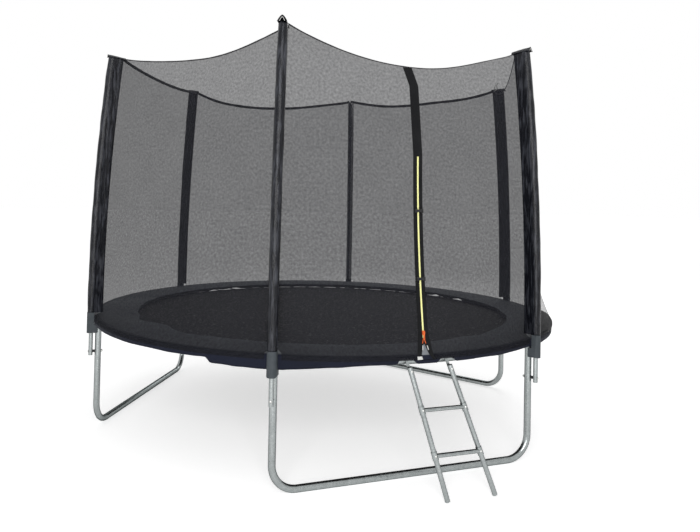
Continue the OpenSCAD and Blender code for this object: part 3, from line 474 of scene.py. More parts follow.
def pole_out(z):
    return POLE_AT - BOW_R * (1 - np.cos(bow_angle(z)))


def inner_half(z):
    """Half the width of a sleeve's inner edge: drawn narrow, a little fuller under the hood."""
    t = np.clip((np.asarray(z, float) - 1.15) / 1.0, 0, 1)
    return 0.010 + 0.004 * t * t * (3 - 2 * t)


def corner(z):
    """Where a net panel meets its pocket: out from the axis, and to the side."""
    reach, side = pole_out(z) - POCKET_IN + 0.002, inner_half(z) * 0.4
    return (reach * math.cos(SIXTH / 2) + side * math.sin(SIXTH / 2),
            reach * math.sin(SIXTH / 2) - side * math.cos(SIXTH / 2))


ROPE_END_D, ROPE_HALF = (float(v) for v in corner(ROPE_END_Z))


def curve_out(z):
    return CURVE_C[0] - np.sqrt(CURVE_BEND ** 2 - (z - CURVE_C[1]) ** 2)


def curve_angle(z):
    return np.arcsin((z - CURVE_C[1]) / CURVE_BEND)


def rope_drop(i, t):
    """How far rope i hangs below its ends at t, from -1 to 1: an arc, less what is held up."""
    bend = (ROPE_HALF ** 2 + SAGS[i] ** 2) / (2 * SAGS[i])
    fine = np.linspace(-1, 1, 81)
    held = np.interp(fine, np.linspace(-1, 1, len(HELD_UP[i])), HELD_UP[i])
    held = np.pad(held, HELD_SMOOTH // 2, mode="edge")
    held = np.convolve(held, np.ones(HELD_SMOOTH) / HELD_SMOOTH, "valid")
    return SAGS[i] - bend + np.sqrt(bend ** 2 - (ROPE_HALF * t) ** 2) - np.interp(t, fine, held)


def middle_out(z, i):
    """How far out the middle of panel i is: on the net's curve, then straight to its rope."""
    low = ROPE_END_Z - float(rope_drop(i, 0.0))
    straight = CURVE_R + (ROPE_END_D + ROPE_BULGE - CURVE_R) * (z - CURVE_Z) / (low - CURVE_Z)
    return np.where(z < CURVE_Z, curve_out(np.minimum(z, CURVE_Z)), straight)


def pole_turn(i):
    return -math.pi / 2 - SIXTH / 2 + SIXTH * (i - 1)


def turned(points, angle):
    """Points turned about the upright axis."""
    c, s = math.cos(angle), math.sin(angle)
    return np.asarray(points) @ np.array([[c, s, 0], [-s, c, 0], [0, 0, 1]])


def rough(points, scale, seed=0.0):
    """Smooth noise from -1 to 1 at each point."""
    flat = np.asarray(points, float).reshape(-1, 3) * scale + seed
    return np.array([noise.noise(p) for p in flat]).reshape(np.shape(points)[:-1])


# %% [markdown]
# ## Mesh helpers
# Nearly every soft piece is a grid of points bent into place, so one function turns a grid into a
# mesh, one sweeps a tube along a path, and one gives a sheet its thickness.

# %%


def grid_faces(rows, cols, loop_rows=False, loop_cols=False, start=0):
    r = np.arange(rows if loop_rows else rows - 1)
    c = np.arange(cols if loop_cols else cols - 1)
    r, c = (a.ravel() for a in np.meshgrid(r, c, indexing="ij"))
    r2, c2 = (r + 1) % rows, (c + 1) % cols
    return np.stack([r * cols + c, r * cols + c2, r2 * cols + c2, r2 * cols + c], axis=1) + start


def piece(name, points, faces, material, uv=None, smooth=True):
    mesh = bpy.data.meshes.new(name)
    mesh.from_pydata([tuple(p) for p in np.asarray(points, float).reshape(-1, 3)], [],
                     [tuple(int(i) for i in f) for f in faces])
    if uv is not None:
        layer = mesh.uv_layers.new(name="UVMap")
        corners = np.zeros(len(mesh.loops), np.int32)
        mesh.loops.foreach_get("vertex_index", corners)
        layer.data.foreach_set("uv", np.asarray(uv, np.float32).reshape(-1, 2)[corners].ravel())
    mesh.materials.append(material)
    if smooth:
        mesh.shade_smooth()
    mesh.validate()
    return link(bpy.data.objects.new(name, mesh))


def joined(parts):
    """Several (points, faces) as one."""
    points, faces, count = [], [], 0
    for part_points, part_faces in parts:
        points.append(np.asarray(part_points, float).reshape(-1, 3))
        faces += [[i + count for i in face] for face in part_faces]
        count += len(points[-1])
    return np.concatenate(points), faces


def slab(front, back):
    """A closed sheet between two grids of the same shape."""
    rows, cols = front.shape[:2]
    points = np.concatenate([front.reshape(-1, 3), back.reshape(-1, 3)])
    n = rows * cols
    faces = grid_faces(rows, cols).tolist() + grid_faces(rows, cols, start=n)[:, ::-1].tolist()
    edge = list(range(cols)) + [r * cols + cols - 1 for r in range(1, rows)]
    edge += [(rows - 1) * cols + c for c in range(cols - 2, -1, -1)]
    edge += [r * cols for r in range(rows - 2, 0, -1)]
    for a, b in zip(edge, edge[1:] + edge[:1]):
        faces.append([b, a, a + n, b + n])
    return points, faces


def lined(outer, inner):
    """A tube of cloth between two grids whose columns close on themselves."""
    rows, cols = outer.shape[:2]
    n = rows * cols
    points = np.concatenate([outer.reshape(-1, 3), inner.reshape(-1, 3)])
    faces = grid_faces(rows, cols, loop_cols=True).tolist()
    faces += grid_faces(rows, cols, loop_cols=True, start=n)[:, ::-1].tolist()
    for row, flip in ((0, 1), (rows - 1, -1)):
        for c in range(cols):
            a, b = row * cols + c, row * cols + (c + 1) % cols
            faces.append([b, a, a + n, b + n][::flip])
    return points, faces


def tube(path, radius, sides=8, flat=1.0, flat_axis=None, loop=False):
    """A tube along a path, with closed ends. flat squeezes it along flat_axis."""
    path = np.asarray(path, float)
    ahead = np.roll(path, -1, 0) - np.roll(path, 1, 0)
    if not loop:
        ahead[0], ahead[-1] = path[1] - path[0], path[-1] - path[-2]
    ahead /= np.linalg.norm(ahead, axis=1)[:, None]
    side = np.zeros_like(path)
    first = np.array(flat_axis if flat_axis is not None else (0, 0, 1), float)
    if abs(first @ ahead[0]) > 0.95:
        first = np.array((1.0, 0, 0))
    for k in range(len(path)):
        base = first if (flat_axis is not None or k == 0) else side[k - 1]
        base = base - (base @ ahead[k]) * ahead[k]
        side[k] = base / np.linalg.norm(base)
    other = np.cross(ahead, side)
    turn = np.linspace(0, 2 * math.pi, sides, endpoint=False)
    radius = np.broadcast_to(np.asarray(radius, float), (len(path),))[:, None, None]
    ring = (side[:, None] * (np.cos(turn) * flat)[None, :, None]
            + other[:, None] * np.sin(turn)[None, :, None])
    points = path[:, None] + ring * radius
    faces = grid_faces(len(path), sides, loop_rows=loop, loop_cols=True).tolist()
    if not loop:
        last = (len(path) - 1) * sides
        faces += [list(range(sides))[::-1], [last + k for k in range(sides)]]
    return points.reshape(-1, 3), faces


# %% [markdown]
# ## Finishes for the measured pieces
# Steel, plastic and the slider keep their measured shapes.

# %%
KEPT = {
    galvanised: ["top_rail_", "leg_", "lower_pole_", "ladder_rail_", "ladder_treads",
                 "ladder_hooks", "upper_poles"],
    fastener_zinc: ["pole_bolts", "pole_nuts", "ladder_bolts"],
    spring_zinc: ["mat_rings"],
    clamp_grey: ["pole_clamps"],
    black_plastic: ["pole_spacers", "pole_caps", "clip_", "foam_sleeves"],
    slider_orange: ["zip_slider", "zip_pull"],
    webbing_black: ["pad_straps"],
}
for material, starts in KEPT.items():
    for name, obj in nodes.items():
        if name.startswith(tuple(starts)):
            obj.data.materials.clear()
            obj.data.materials.append(material)
print("measured pieces with a finish:", sum(len(o.data.materials) > 0 for o in nodes.values()))

# %% [markdown]
# ## Net panels
# Six panels of knitted net. Each hangs from a rope that sags between two poles, is sewn to the
# pockets at its sides and ends in a hem tucked outside the pad. A cloth hung like this pulls tight
# between its corners, so its middle lies further in than its hem.

# %%
NET_COLS, NET_ROWS = 49, 64
RIPPLE = 0.008
FRONT_PANELS = (1, 6)


def panel_points(i):
    """A panel's grid of points in its own frame, X outward: three hem rows, then the net's."""
    u = np.linspace(-1, 1, NET_COLS)
    top = ROPE_END_Z - rope_drop(i, u) - 0.001
    share = np.linspace(0, 1, NET_ROWS)[:, None]
    z = NET_FOOT_Z + share * (top - NET_FOOT_Z)[None, :]
    out, side = corner(z)
    points = np.stack([out + (middle_out(z, i) - out) * (1 - u * u), u * side, z], axis=-1)
    rim = np.stack([HEM_R * np.cos(HEM_HALF * u), HEM_R * np.sin(HEM_HALF * u)], axis=-1)
    hem = [np.concatenate([rim, np.full((NET_COLS, 1), height)], axis=1)
           for height in (HEM_Z, HEM_MIDDLE_Z, RIM_Z)]
    points = np.concatenate([np.stack(hem), points])
    ripple = rough(points * (3, 9, 2.2), 1.0, 7.3 * i)
    calm = np.clip((1 - np.abs(u)) * 6, 0, 1)[None, :] * np.ones((len(points), 1))
    calm[:len(hem)] = 0
    calm[-1] = 0
    if i == 1:  # the door's strip lies flat on this panel
        calm = calm * np.clip((np.abs(points[..., 1] - 0.03) - 0.07) * 14, 0, 1)
    points[..., 0] += RIPPLE * ripple * calm + NET_T / 2
    return points


net_pieces = {}
for i in range(1, 7):
    points = panel_points(i)
    uv = np.stack([points[..., 1], points[..., 2]], axis=-1)
    net = piece(f"net_{i}", turned(points, pole_turn(i) + SIXTH / 2), grid_faces(*points.shape[:2]),
                net_near if i in FRONT_PANELS else net_far, uv)
    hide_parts(f"net_panel_{i}")
    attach(net, "frame")
    net_pieces[i] = net
print("net panels:", len(net_pieces), "of", points.shape[0] * points.shape[1], "points")

# %% [markdown]
# ## Bound top edge
# The rope runs in a folded cloth casing, drawn as one soft tube per panel. Where the casing is
# folded double it is thick, and where it is pulled out along the rope it is thin.

# %%
ROPE_STEPS = 60


def rope_path(i):
    t = np.linspace(-1, 1, ROPE_STEPS) * 0.995
    drop = rope_drop(i, t)
    bulge = ROPE_BULGE * np.clip(drop / float(rope_drop(i, 0.0)), 0, 1)
    points = np.stack([ROPE_END_D + bulge, t * ROPE_HALF, ROPE_END_Z - drop], axis=-1)
    return turned(points, pole_turn(i) + SIXTH / 2)


# Each casing's radius at its first end, about a third of the way along, and at its last end.
CASING = {1: (0.0038, 0.0030, 0.0022), 2: (0.0022, 0.0022, 0.0026), 3: (0.0100, 0.0105, 0.0105),
          4: (0.0105, 0.0105, 0.0105), 5: (0.0105, 0.0105, 0.0090), 6: (0.0036, 0.0036, 0.0038)}
casings = []
for i in range(1, 7):
    along = np.linspace(0, 1, ROPE_STEPS)
    lumps = 1 + 0.10 * np.sin(along * 61 + i) * np.sin(along * 23)
    radii = np.interp(along, [0, 0.35, 1], CASING[i])
    casings.append(tube(rope_path(i), radii * lumps, 12, 1.0, (0, 0, 1)))
casing = piece("net_casing", *joined(casings), binding_black)
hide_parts("net_rope")
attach(casing, "frame")

# %% [markdown]
# Beside one front pole the net's lower corner is doubled with a long dark triangle of cloth.

# %%
GUSSET_PANEL, GUSSET_FROM, GUSSET_TO = 2, -0.99, -0.12
GUSSET_FOOT, GUSSET_H, GUSSET_TIP_H = 0.688, 0.175, 0.006
along = np.linspace(GUSSET_FROM, GUSSET_TO, 30)[:, None]
slope = ((GUSSET_TO - along) / (GUSSET_TO - GUSSET_FROM)) ** 0.8
z = GUSSET_FOOT + np.linspace(0, 1, 10)[None, :] * (GUSSET_H * slope + GUSSET_TIP_H)
along = along * np.ones_like(z)
net_z = np.maximum(z, NET_FOOT_Z)
out, across = corner(net_z)
out = out + (middle_out(net_z, GUSSET_PANEL) - out) * (1 - along * along)
share = np.clip((NET_FOOT_Z - z) / (NET_FOOT_Z - RIM_Z), 0, 1)
out = out + (HEM_R * np.cos(HEM_HALF * along) - out) * share
across = along * across + (HEM_R * np.sin(HEM_HALF * along) - along * across) * share
layers = [turned(np.stack([out + lift, across, z], axis=-1), pole_turn(GUSSET_PANEL) + SIXTH / 2)
          for lift in (0.0036, 0.0024)]
gusset_cloth = piece("net_gusset", *slab(*layers), door_cloth)
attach(gusset_cloth, "frame")

# %% [markdown]
# The panels are left as they were built.

# %%
for i, net in net_pieces.items():
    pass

# %% [markdown]
# ## Pocket sleeves
# Each foam-covered pole stands in a pocket of coated cloth, round outside and sewn flat to the nets
# inside. The cloth is longer than the pole, so it sits in small creases across.

# %%


def pocket_outline(inner):
    """The sleeve's section as a loop, +X outward; inner is half the width of its inner edge."""
    arc = np.linspace(math.pi / 2, -math.pi / 2, 25)
    outer = np.stack([POCKET_R * np.cos(arc), POCKET_R * np.sin(arc)], axis=-1)
    x = -np.linspace(0.006, POCKET_IN - 0.004, 12)
    t = np.clip((-x - 0.006) / (POCKET_IN - 0.010), 0, 1)
    side = np.stack([x, -(POCKET_R + (inner - POCKET_R) * t ** 0.8)], axis=-1)
    back = np.array([(-POCKET_IN + 0.0012, -inner + 0.0022), (-POCKET_IN, -inner * 0.5)])
    lower = np.concatenate([side, back])
    upper = lower[::-1] * (1, -1)
    return np.concatenate([outer, lower, [(-POCKET_IN, 0.0)], upper])


def on_pole(local, z):
    """Points given across a pole, placed on its bow at each height."""
    lean = bow_angle(z)
    return np.stack([pole_out(z) + local[..., 0] * np.cos(lean), local[..., 1],
                     z + local[..., 0] * np.sin(lean)], axis=-1)


SLEEVE_ROWS, SLEEVE_T = 200, 0.0012
sleeve_z = np.linspace(POCKET_LOW, POCKET_TOP, SLEEVE_ROWS)
outlines = np.array([pocket_outline(float(inner_half(z))) for z in sleeve_z])
away = outlines - np.array([-0.012, 0])
away /= np.linalg.norm(away, axis=2)[:, :, None]
for i in range(1, 7):
    top_z = POCKET_TOP + RAISED.get(i, 0)
    z = POCKET_LOW + (sleeve_z - POCKET_LOW) * (top_z - POCKET_LOW) / (POCKET_TOP - POCKET_LOW)
    z = z[:, None] * np.ones((1, outlines.shape[1]))
    fine = np.concatenate([outlines * 55, z[..., None] * 13], axis=-1)
    broad = np.concatenate([outlines * 10, z[..., None] * 9], axis=-1)
    crease = rough(fine, 1.0, 3.1 * i) * 0.0013 + rough(broad, 1.0, 9.7 * i) * 0.0022
    free_of_ends = np.clip(np.minimum(z - POCKET_LOW, top_z - z) * 22, 0, 1)
    free_of_seam = np.clip((outlines[..., 0] + POCKET_IN) * 45, 0, 1)
    loose = ((crease + 0.0012) * free_of_ends * (0.25 + 0.75 * free_of_seam))[..., None]
    faces_of_cloth = (turned(on_pole(outlines + away * lift, z), pole_turn(i))
                      for lift in (loose, loose - SLEEVE_T))
    sleeve = piece(f"sleeve_{i}", *lined(*faces_of_cloth), sleeve_cloth)
    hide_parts(f"net_pocket_{i}")
    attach(sleeve, "frame")
print("sleeves of", outlines.shape[0] * outlines.shape[1], "points each")

# %% [markdown]
# ## Hoods
# A little gabled roof of the same cloth closes each pocket. Its ridge runs in from the pole, and it
# narrows and drops on the way in. The outer gable is open: a dark triangle with a bound edge, and a
# pale lining that shows a little way inside.

# %%
HOOD_IN_HALF, HOOD_IN_H = 0.0165, 0.75  # the inner end's half width, and its share of the height
HOOD_FULL_X, HOOD_LIFT = -0.006, 0.0003
HOOD_THIN, GABLE_SHARE = np.array([1.0, 0.90, 0.92]), (1.0, 0.97, 0.97)
LINING_SHARE, LINING_PAST = (1.0, 0.55, 0.66), (0.001, 0, 0.001)
RIM_WIRE, LINING_WIRE = 0.0022, 0.0013
TIP = np.array([[math.cos(BOW_END), 0, math.sin(BOW_END)], [0, 1, 0],
                [-math.sin(BOW_END), 0, math.cos(BOW_END)]])
hood_parts, hood_rims, lining = [], [], []
for i in range(1, 7):
    across = np.linspace(-1, 1, 15)
    along = np.linspace(-POCKET_IN - HOOD_PAST_IN, POCKET_R + HOOD_PAST_OUT, 16)
    roof_z = (1 - np.abs(across) ** 1.5) * HOODS.get(i, HOOD_H)
    top_z = POCKET_TOP + RAISED.get(i, 0)
    half = np.interp(along, [along[0], HOOD_FULL_X], [HOOD_IN_HALF, POCKET_R])
    x = along[:, None] * np.ones((1, len(across)))
    y = half[:, None] * across[None]
    z = np.interp(along, [along[0], HOOD_FULL_X], [HOOD_IN_H, 1])[:, None] * roof_z[None]
    dent = rough(np.stack([x * 40, y * 40, z * 30], axis=-1), 1.0, 5.5 * i) * 0.0012
    outer = np.stack([x, y * (1 + dent * 12), z + dent], axis=-1)
    base = np.array([float(pole_out(top_z)), 0.0, top_z + HOOD_LIFT])

    def placed(local):
        return turned(local @ TIP + base, pole_turn(i))

    hood_parts.append(slab(placed(outer), placed(outer * HOOD_THIN)))
    gable = outer[0] * GABLE_SHARE + (0.004, 0, 0)
    hood_parts.append((placed(gable), [list(range(len(gable)))]))
    hood_rims.append(tube(placed(outer[-1]), RIM_WIRE, 6))
    lining.append(tube(placed(outer[-1] * LINING_SHARE + LINING_PAST), LINING_WIRE, 6))
hoods = piece("hoods", *joined(hood_parts), sleeve_cloth)
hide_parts("net_hoods")
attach(hoods, "frame")
rims = piece("hood_rims", *joined(hood_rims), binding_black)
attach(rims, "frame")
linings = piece("hood_linings", *joined(lining), tie_white)
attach(linings, "frame")

# %% [markdown]
# At the pole behind the door, the rope's two white ends stick up where they are knotted.

# %%
TAIL_POLE, TAIL_R = 3, 0.0028
TAILS = [[(0, 0, 0.000), (-0.004, -0.016, 0.026), (-0.012, -0.040, 0.046)],
         [(0, 0, 0.000), (0.006, -0.046, 0.018), (0.004, -0.030, 0.046), (0.000, -0.060, 0.062)]]
knot = on_pole(np.array([-POCKET_IN, -0.004]), np.array(POCKET_TOP))
tie_parts = []
for corners in TAILS:
    t = np.linspace(0, len(corners) - 1, 24)
    bend = np.stack([np.interp(t, range(len(corners)), axis) for axis in zip(*corners)], axis=-1)
    for _ in range(3):
        bend[1:-1] = (bend[:-2] + bend[1:-1] + bend[2:]) / 3
    tie_parts.append(tube(turned(bend + knot, pole_turn(TAIL_POLE)), TAIL_R, 7))
tie_ends = piece("rope_tails", *joined(tie_parts), tie_white)
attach(tie_ends, "frame")

# %% [markdown]
# ## Safety pad
# A ring of thin foam in a sewn cover. Foam in a cover that is a little too small puckers along
# radial lines, its inner edge wanders, and its skirt hangs loose outside the ring.

# %%
PAD_STEPS = 720
# The pad's section, in five runs: each point is how far out and how high it is from its run's base.
PAD_SECTION = (
    ((PAD_IN_R, PAD_LOW), ((0.004, 0.001), (0, 0.003), (0.002, 0.006))),
    ((PAD_IN_R, PAD_TOP), ((0.010, -0.0025), (0.022, -0.0015), (0.030, -0.0025), (0.045, -0.0005),
                           (0.080, 0.001), (0.130, 0.002), (0.180, 0.0015), (0.215, 0),
                           (0.243, -0.0015), (0.252, -0.003), (0.262, -0.0025))),
    ((SKIRT_R, PAD_TOP), ((-0.008, -0.004), (-0.002, -0.009), (0, -0.016))),
    ((SKIRT_R, SKIRT_Z), ((-0.0005, 0.018), (0, 0.008), (0, 0), (-0.0016, 0), (-0.0018, 0.012))),
    ((0, PAD_LOW), ((SKIRT_R - 0.0022, 0), (1.50, 0), (1.38, 0))),
)
profile = np.array([(base[0] + out, base[1] + high) for base, run in PAD_SECTION
                    for out, high in run])
# Where the inner edge strays: degrees round, how wide in degrees, and how far out.
EDGE_STRAYS = ((189, 5, 0.034), (200, 5, -0.036), (213, 6, 0.030), (287, 4, -0.016),
               (295, 5, 0.018))
# The skirt hangs lower in front, but not where the door's strip and the ladder are.
DROP_AT = (226.6, 227.6, 236, 242, 248, 256, 260)
SKIRT_DROP = (0, 0.026, 0.030, 0.029, 0.012, 0.005, 0)
DOOR_AT, DOOR_SPAN = 270, 10
SLOTS_AT, SLOT_HALF, SLOT_SIDE, SLOT_H = (264.8, 273.2), 1.9, 0.6, 0.0285
turn = np.linspace(0, 2 * math.pi, PAD_STEPS, endpoint=False)
pad_r = np.broadcast_to(profile[:, 0], (PAD_STEPS, len(profile))).copy()
pad_z = np.broadcast_to(profile[:, 1], (PAD_STEPS, len(profile))).copy()
spot = np.stack([np.cos(turn), np.sin(turn), np.zeros(PAD_STEPS)], axis=-1)
degrees = np.degrees(turn)
wander = rough(spot, 7.0, 2.0) * 0.011 + rough(spot, 24.0, 4.0) * 0.004
for at, wide, push in EDGE_STRAYS:
    wander += push * np.exp(-((degrees - at) / wide) ** 2)
hang = rough(spot, 6.0, 3.0) * 0.005 + rough(spot, 19.0, 5.0) * 0.0025
hang = hang - np.interp(degrees, DROP_AT, SKIRT_DROP)
hang = np.where(np.abs(degrees - DOOR_AT) < DOOR_SPAN, 0, hang)
for at in SLOTS_AT:  # a slot in the skirt for each of the ladder's hooks
    slot = np.clip((SLOT_HALF - np.abs(degrees - at)) / SLOT_SIDE, 0, 1)
    hang = hang * (1 - slot) + SLOT_H * slot
inside = np.clip(1 - (profile[:, 0] - PAD_IN_R) / 0.10, 0, 1)
pad_r += wander[:, None] * inside[None, :]
below = np.clip((PAD_LOW - profile[:, 1]) / (PAD_LOW - SKIRT_Z), 0, 1)
pad_z += hang[:, None] * below[None, :]
on_top = profile[:, 1] > PAD_TOP - 0.006
soft = np.exp(-((profile[:, 0] - PAD_IN_R - 0.13) / 0.10) ** 2) * on_top
pucker = rough(spot, 21.0, 8.0) * 0.0035 + rough(spot, 60.0, 1.0) * 0.0018
pad_z += pucker[:, None] * soft[None, :]
pad_points = np.stack([pad_r * np.cos(turn)[:, None], pad_r * np.sin(turn)[:, None], pad_z],
                      axis=-1)
pad_faces = grid_faces(PAD_STEPS, len(profile), loop_rows=True, loop_cols=True)
pad = piece("pad", pad_points, pad_faces, pad_cover)
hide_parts("safety_pad")
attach(pad, "frame")

# %% [markdown]
# The pad's inner edge has a hanging dark lip, drawn in the binding's black: a sheet of painted
# shade under that edge, which hides the springs' inner hooks. It is sewn by hand, so it rides up in
# places and a ring shows.

# %%
LIP_LOW, LIP_RISE = 0.6652, 0.012
LIP_GAPS = ((10, 2.2), (21, 1.6), (106, 3.0), (114, 2.2))  # degrees round, and how wide
LIP_SECTION = ((0.0, 1.0), (-0.0006, 0.55), (0.0004, 0.0), (0.0018, 0.0), (0.0018, 0.55),
               (0.0022, 1.0))  # how far out, and the share of the lip's height
gaps = sum(np.exp(-((degrees - at) / wide) ** 2) for at, wide in LIP_GAPS)
lip_r = PAD_IN_R + wander + 0.003
lip_z = LIP_LOW + 0.0025 * (1 + rough(spot, 30.0, 6.0)) + LIP_RISE * np.clip(gaps, 0, 1)
lip_z = np.minimum(lip_z, PAD_LOW - 0.004)
lip_rows = []
for off, share in LIP_SECTION:
    r = lip_r + off
    lip_rows.append(np.stack([r * np.cos(turn), r * np.sin(turn),
                              lip_z + (PAD_LOW + 0.0035 - lip_z) * share], axis=-1))
# pad_lip: a dark sheet of painted shade under the pad's inner edge.
lip = piece("pad_lip", np.stack(lip_rows, axis=1),
            grid_faces(PAD_STEPS, len(lip_rows), loop_rows=True, loop_cols=True), binding_black)
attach(lip, "frame")

# %% [markdown]
# ## Mat
# A disc of woven plastic with webbing sewn round it, and 60 folded tabs that hold the steel rings.

# %%
MAT_RINGS, MAT_STEPS = 22, 240
WEB_LOW, WEB_STITCHED = 0.0040, 0.0034  # how far the webbing hangs below the mat's face
turn = np.linspace(0, 2 * math.pi, MAT_STEPS, endpoint=False)


def disc_layer(radii, heights):
    r, z = np.asarray(radii)[:, None], np.asarray(heights)[:, None]
    return np.stack([r * np.cos(turn), r * np.sin(turn), z * np.ones(MAT_STEPS)], axis=-1)


radii = np.concatenate([[0.02], np.linspace(0.08, MAT_R, MAT_RINGS)])
heights = np.full(len(radii), MAT_Z)
layers = disc_layer(np.concatenate([radii, radii[::-1]]),
                    np.concatenate([heights, heights - MAT_T]))
faces = grid_faces(len(layers), MAT_STEPS, loop_cols=True).tolist()
last = (len(layers) - 1) * MAT_STEPS
faces += [list(range(MAT_STEPS))[::-1], [last + k for k in range(MAT_STEPS)]]
mat = piece("mat", layers, faces, mat_cloth, smooth=False)
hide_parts("jumping_mat")
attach(mat, "mat")

band = [(MAT_R, MAT_Z - MAT_T), (MAT_R, MAT_Z - 2 * MAT_T + 0.0003),
        (MAT_R - 0.002, MAT_Z - 2 * MAT_T)]
for k in range(1, 8):
    stitched = k in (2, 6)
    band.append((MAT_R - WEB_W * k / 8, MAT_Z - (WEB_STITCHED if stitched else WEB_LOW)))
band += [(MAT_R - WEB_W + 0.002, MAT_Z - 2 * MAT_T), (MAT_R - WEB_W, MAT_Z - MAT_T)]
band = np.array(band[::-1])
web = piece("mat_edge", disc_layer(band[:, 0], band[:, 1]),
            grid_faces(len(band), MAT_STEPS, loop_rows=True, loop_cols=True), webbing_black)
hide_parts("mat_webbing")
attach(web, "mat")

# %% [markdown]
# A folded tab of webbing holds each steel ring. It goes over the mat's edge and back under it.

# %%
SPRINGS_PER_SIXTH = 10
TAB_HALF, TAB_T, TAB_TOP, TAB_LOW = 0.0135, 0.0011, 0.0018, -0.0052
tab_line = np.array([(1.262, TAB_TOP - 0.0010), (1.266, TAB_TOP - 0.0002), (1.280, TAB_TOP),
                     (1.294, TAB_TOP + 0.0004), (1.3005, TAB_TOP + 0.0006),
                     (1.3034, TAB_TOP - 0.0014), (1.3040, -0.0018), (1.3030, -0.0040),
                     (1.2995, TAB_LOW), (1.280, TAB_LOW), (1.266, TAB_LOW + 0.0002)])
heading = np.gradient(tab_line, axis=0)
heading /= np.linalg.norm(heading, axis=1)[:, None]
tab_out = np.stack([-heading[:, 1], heading[:, 0]], axis=-1) * TAB_T
tab_wide = np.array([-1, -0.9, 0, 0.9, 1]) * TAB_HALF
tab_layers = [np.stack([np.repeat(line[:, :1], 5, 1), np.tile(tab_wide, (len(line), 1)),
                        np.repeat(line[:, 1:] + MAT_Z, 5, 1)], axis=-1)
              for line in (tab_line, tab_line - tab_out)]


def spring_turn(i, k):
    """How far round spring k of the sixth that starts at pole i is."""
    return pole_turn(i) + SIXTH * (k + 0.5) / SPRINGS_PER_SIXTH


tab_parts = [slab(*(turned(layer, spring_turn(i, k)) for layer in tab_layers))
             for i in range(1, 7) for k in range(SPRINGS_PER_SIXTH)]
tabs = piece("mat_tabs", *joined(tab_parts), webbing_black)
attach(tabs, "mat")

# %% [markdown]
# ## Springs
# Sixty close-wound springs. Each is one piece of wire: a hook, a cone that opens, the coils, a cone
# that closes and a second hook.

# %%
WIRE_R, COIL_R, TURNS, STEPS_PER_TURN = 0.0016, 0.0074, 33, 8
TIP_IN, TIP_OUT = 1.3147, 1.4907


def spring_path():
    """One spring's wire along X, from its inner hook to its outer one."""
    start, end = TIP_IN + 0.020, TIP_OUT - 0.024
    s = np.linspace(0, 1, TURNS * STEPS_PER_TURN)
    swell = np.clip(np.minimum(s, 1 - s) * TURNS / 1.5, 0.12, 1)
    coil = np.stack([start - 0.006 + s * (end - start + 0.012),
                     COIL_R * swell * np.cos(s * TURNS * 2 * math.pi),
                     COIL_R * swell * np.sin(s * TURNS * 2 * math.pi)], axis=-1)
    inner = [(TIP_IN, 0, -0.0065), (TIP_IN, 0, -0.003), (TIP_IN + 0.0008, 0, -0.0006),
             (TIP_IN + 0.004, 0, 0)]
    outer = [(TIP_OUT - 0.004, 0, 0), (TIP_OUT - 0.0008, 0, 0.0006), (TIP_OUT, 0, 0.003),
             (TIP_OUT, 0, 0.005)]
    return np.concatenate([inner, coil, outer]) + (0, 0, RING_Z)


spring_points, spring_faces = tube(spring_path(), WIRE_R, 5)
for i in range(1, 7):
    for k in range(SPRINGS_PER_SIXTH):
        at = spring_turn(i, k)
        spring = piece(f"spring_{i}_{k}", turned(spring_points, at), spring_faces, spring_zinc)
        if (i, k) == (1, 0):
            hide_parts("springs")
        ends = turned([(TIP_OUT - 0.004, 0, RING_Z), (TIP_IN + 0.002, 0, RING_Z)], at)
        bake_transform(spring)
print("springs:", 6 * SPRINGS_PER_SIXTH, "of", len(spring_faces), "faces")

# %% [markdown]
# ## Door strip and zip
# The door is a slit in the front panel, covered by a cloth strip. The zip lies on the strip, in the
# same upright plane as the slider's path, so the slider always runs on it.

# %%
DOOR_X, SLANT, DOOR_W, STRIP_OFF, DOOR_T = 0.025, math.radians(17), 0.054, 0.0006, 0.0018
STRIP_L, HEM_RISE = 1.52, 0.0006
FLARE_LEFT, FLARE_RIGHT = 0.55, 0.95  # how much wider each side of the strip's foot gets
ZIP_LOW, ZIP_HIGH, ZIP_W = 0.770, 1.690, 0.009
TOOTH_PITCH, TOOTH_HALF, TOOTH_REACH = 0.005, 0.0015, 0.0026
TOOTH_SHIFT, TOOTH_T = 0.0016, 0.0008
STRIP_TOP = ROPE_END_Z - float(rope_drop(1, 0.0)) - 0.004
TOP_STRAY, FOOT_STRAY, FLARE_Z = -0.034, 0.012, 0.80


def strip_out(z, off):
    """How far out from the axis's plane, and how high, a place on the door is."""
    z = np.asarray(z, float)
    angle = curve_angle(np.clip(z, RIM_Z, CURVE_Z))
    bend = CURVE_BEND - NET_T - off
    out, high = CURVE_C[0] - bend * np.cos(angle), CURVE_C[1] + bend * np.sin(angle)
    top_out = float(middle_out(np.array(STRIP_TOP), 1)) + NET_T + off
    last = CURVE_C[0] - bend * math.cos(float(curve_angle(CURVE_Z)))
    above_out = last + (top_out - last) * (z - CURVE_Z) / (STRIP_TOP - CURVE_Z)
    out = np.where(z > CURVE_Z, above_out, np.where(z < RIM_Z, HEM_R + NET_T + off, out))
    return out, np.where((z > CURVE_Z) | (z < RIM_Z), z, high)


def strip_mid(z):
    """The middle of the strip, to the side."""
    z = np.asarray(z, float)
    line = DOOR_X - math.tan(SLANT) * np.maximum(0, curve_out(np.clip(z, RIM_Z, CURVE_Z)) - CURVE_R)
    stray = np.interp(z, [HEM_Z, RIM_Z, STRIP_TOP - 0.10, STRIP_TOP],
                      [FOOT_STRAY, 0, 0, TOP_STRAY])
    return line + stray


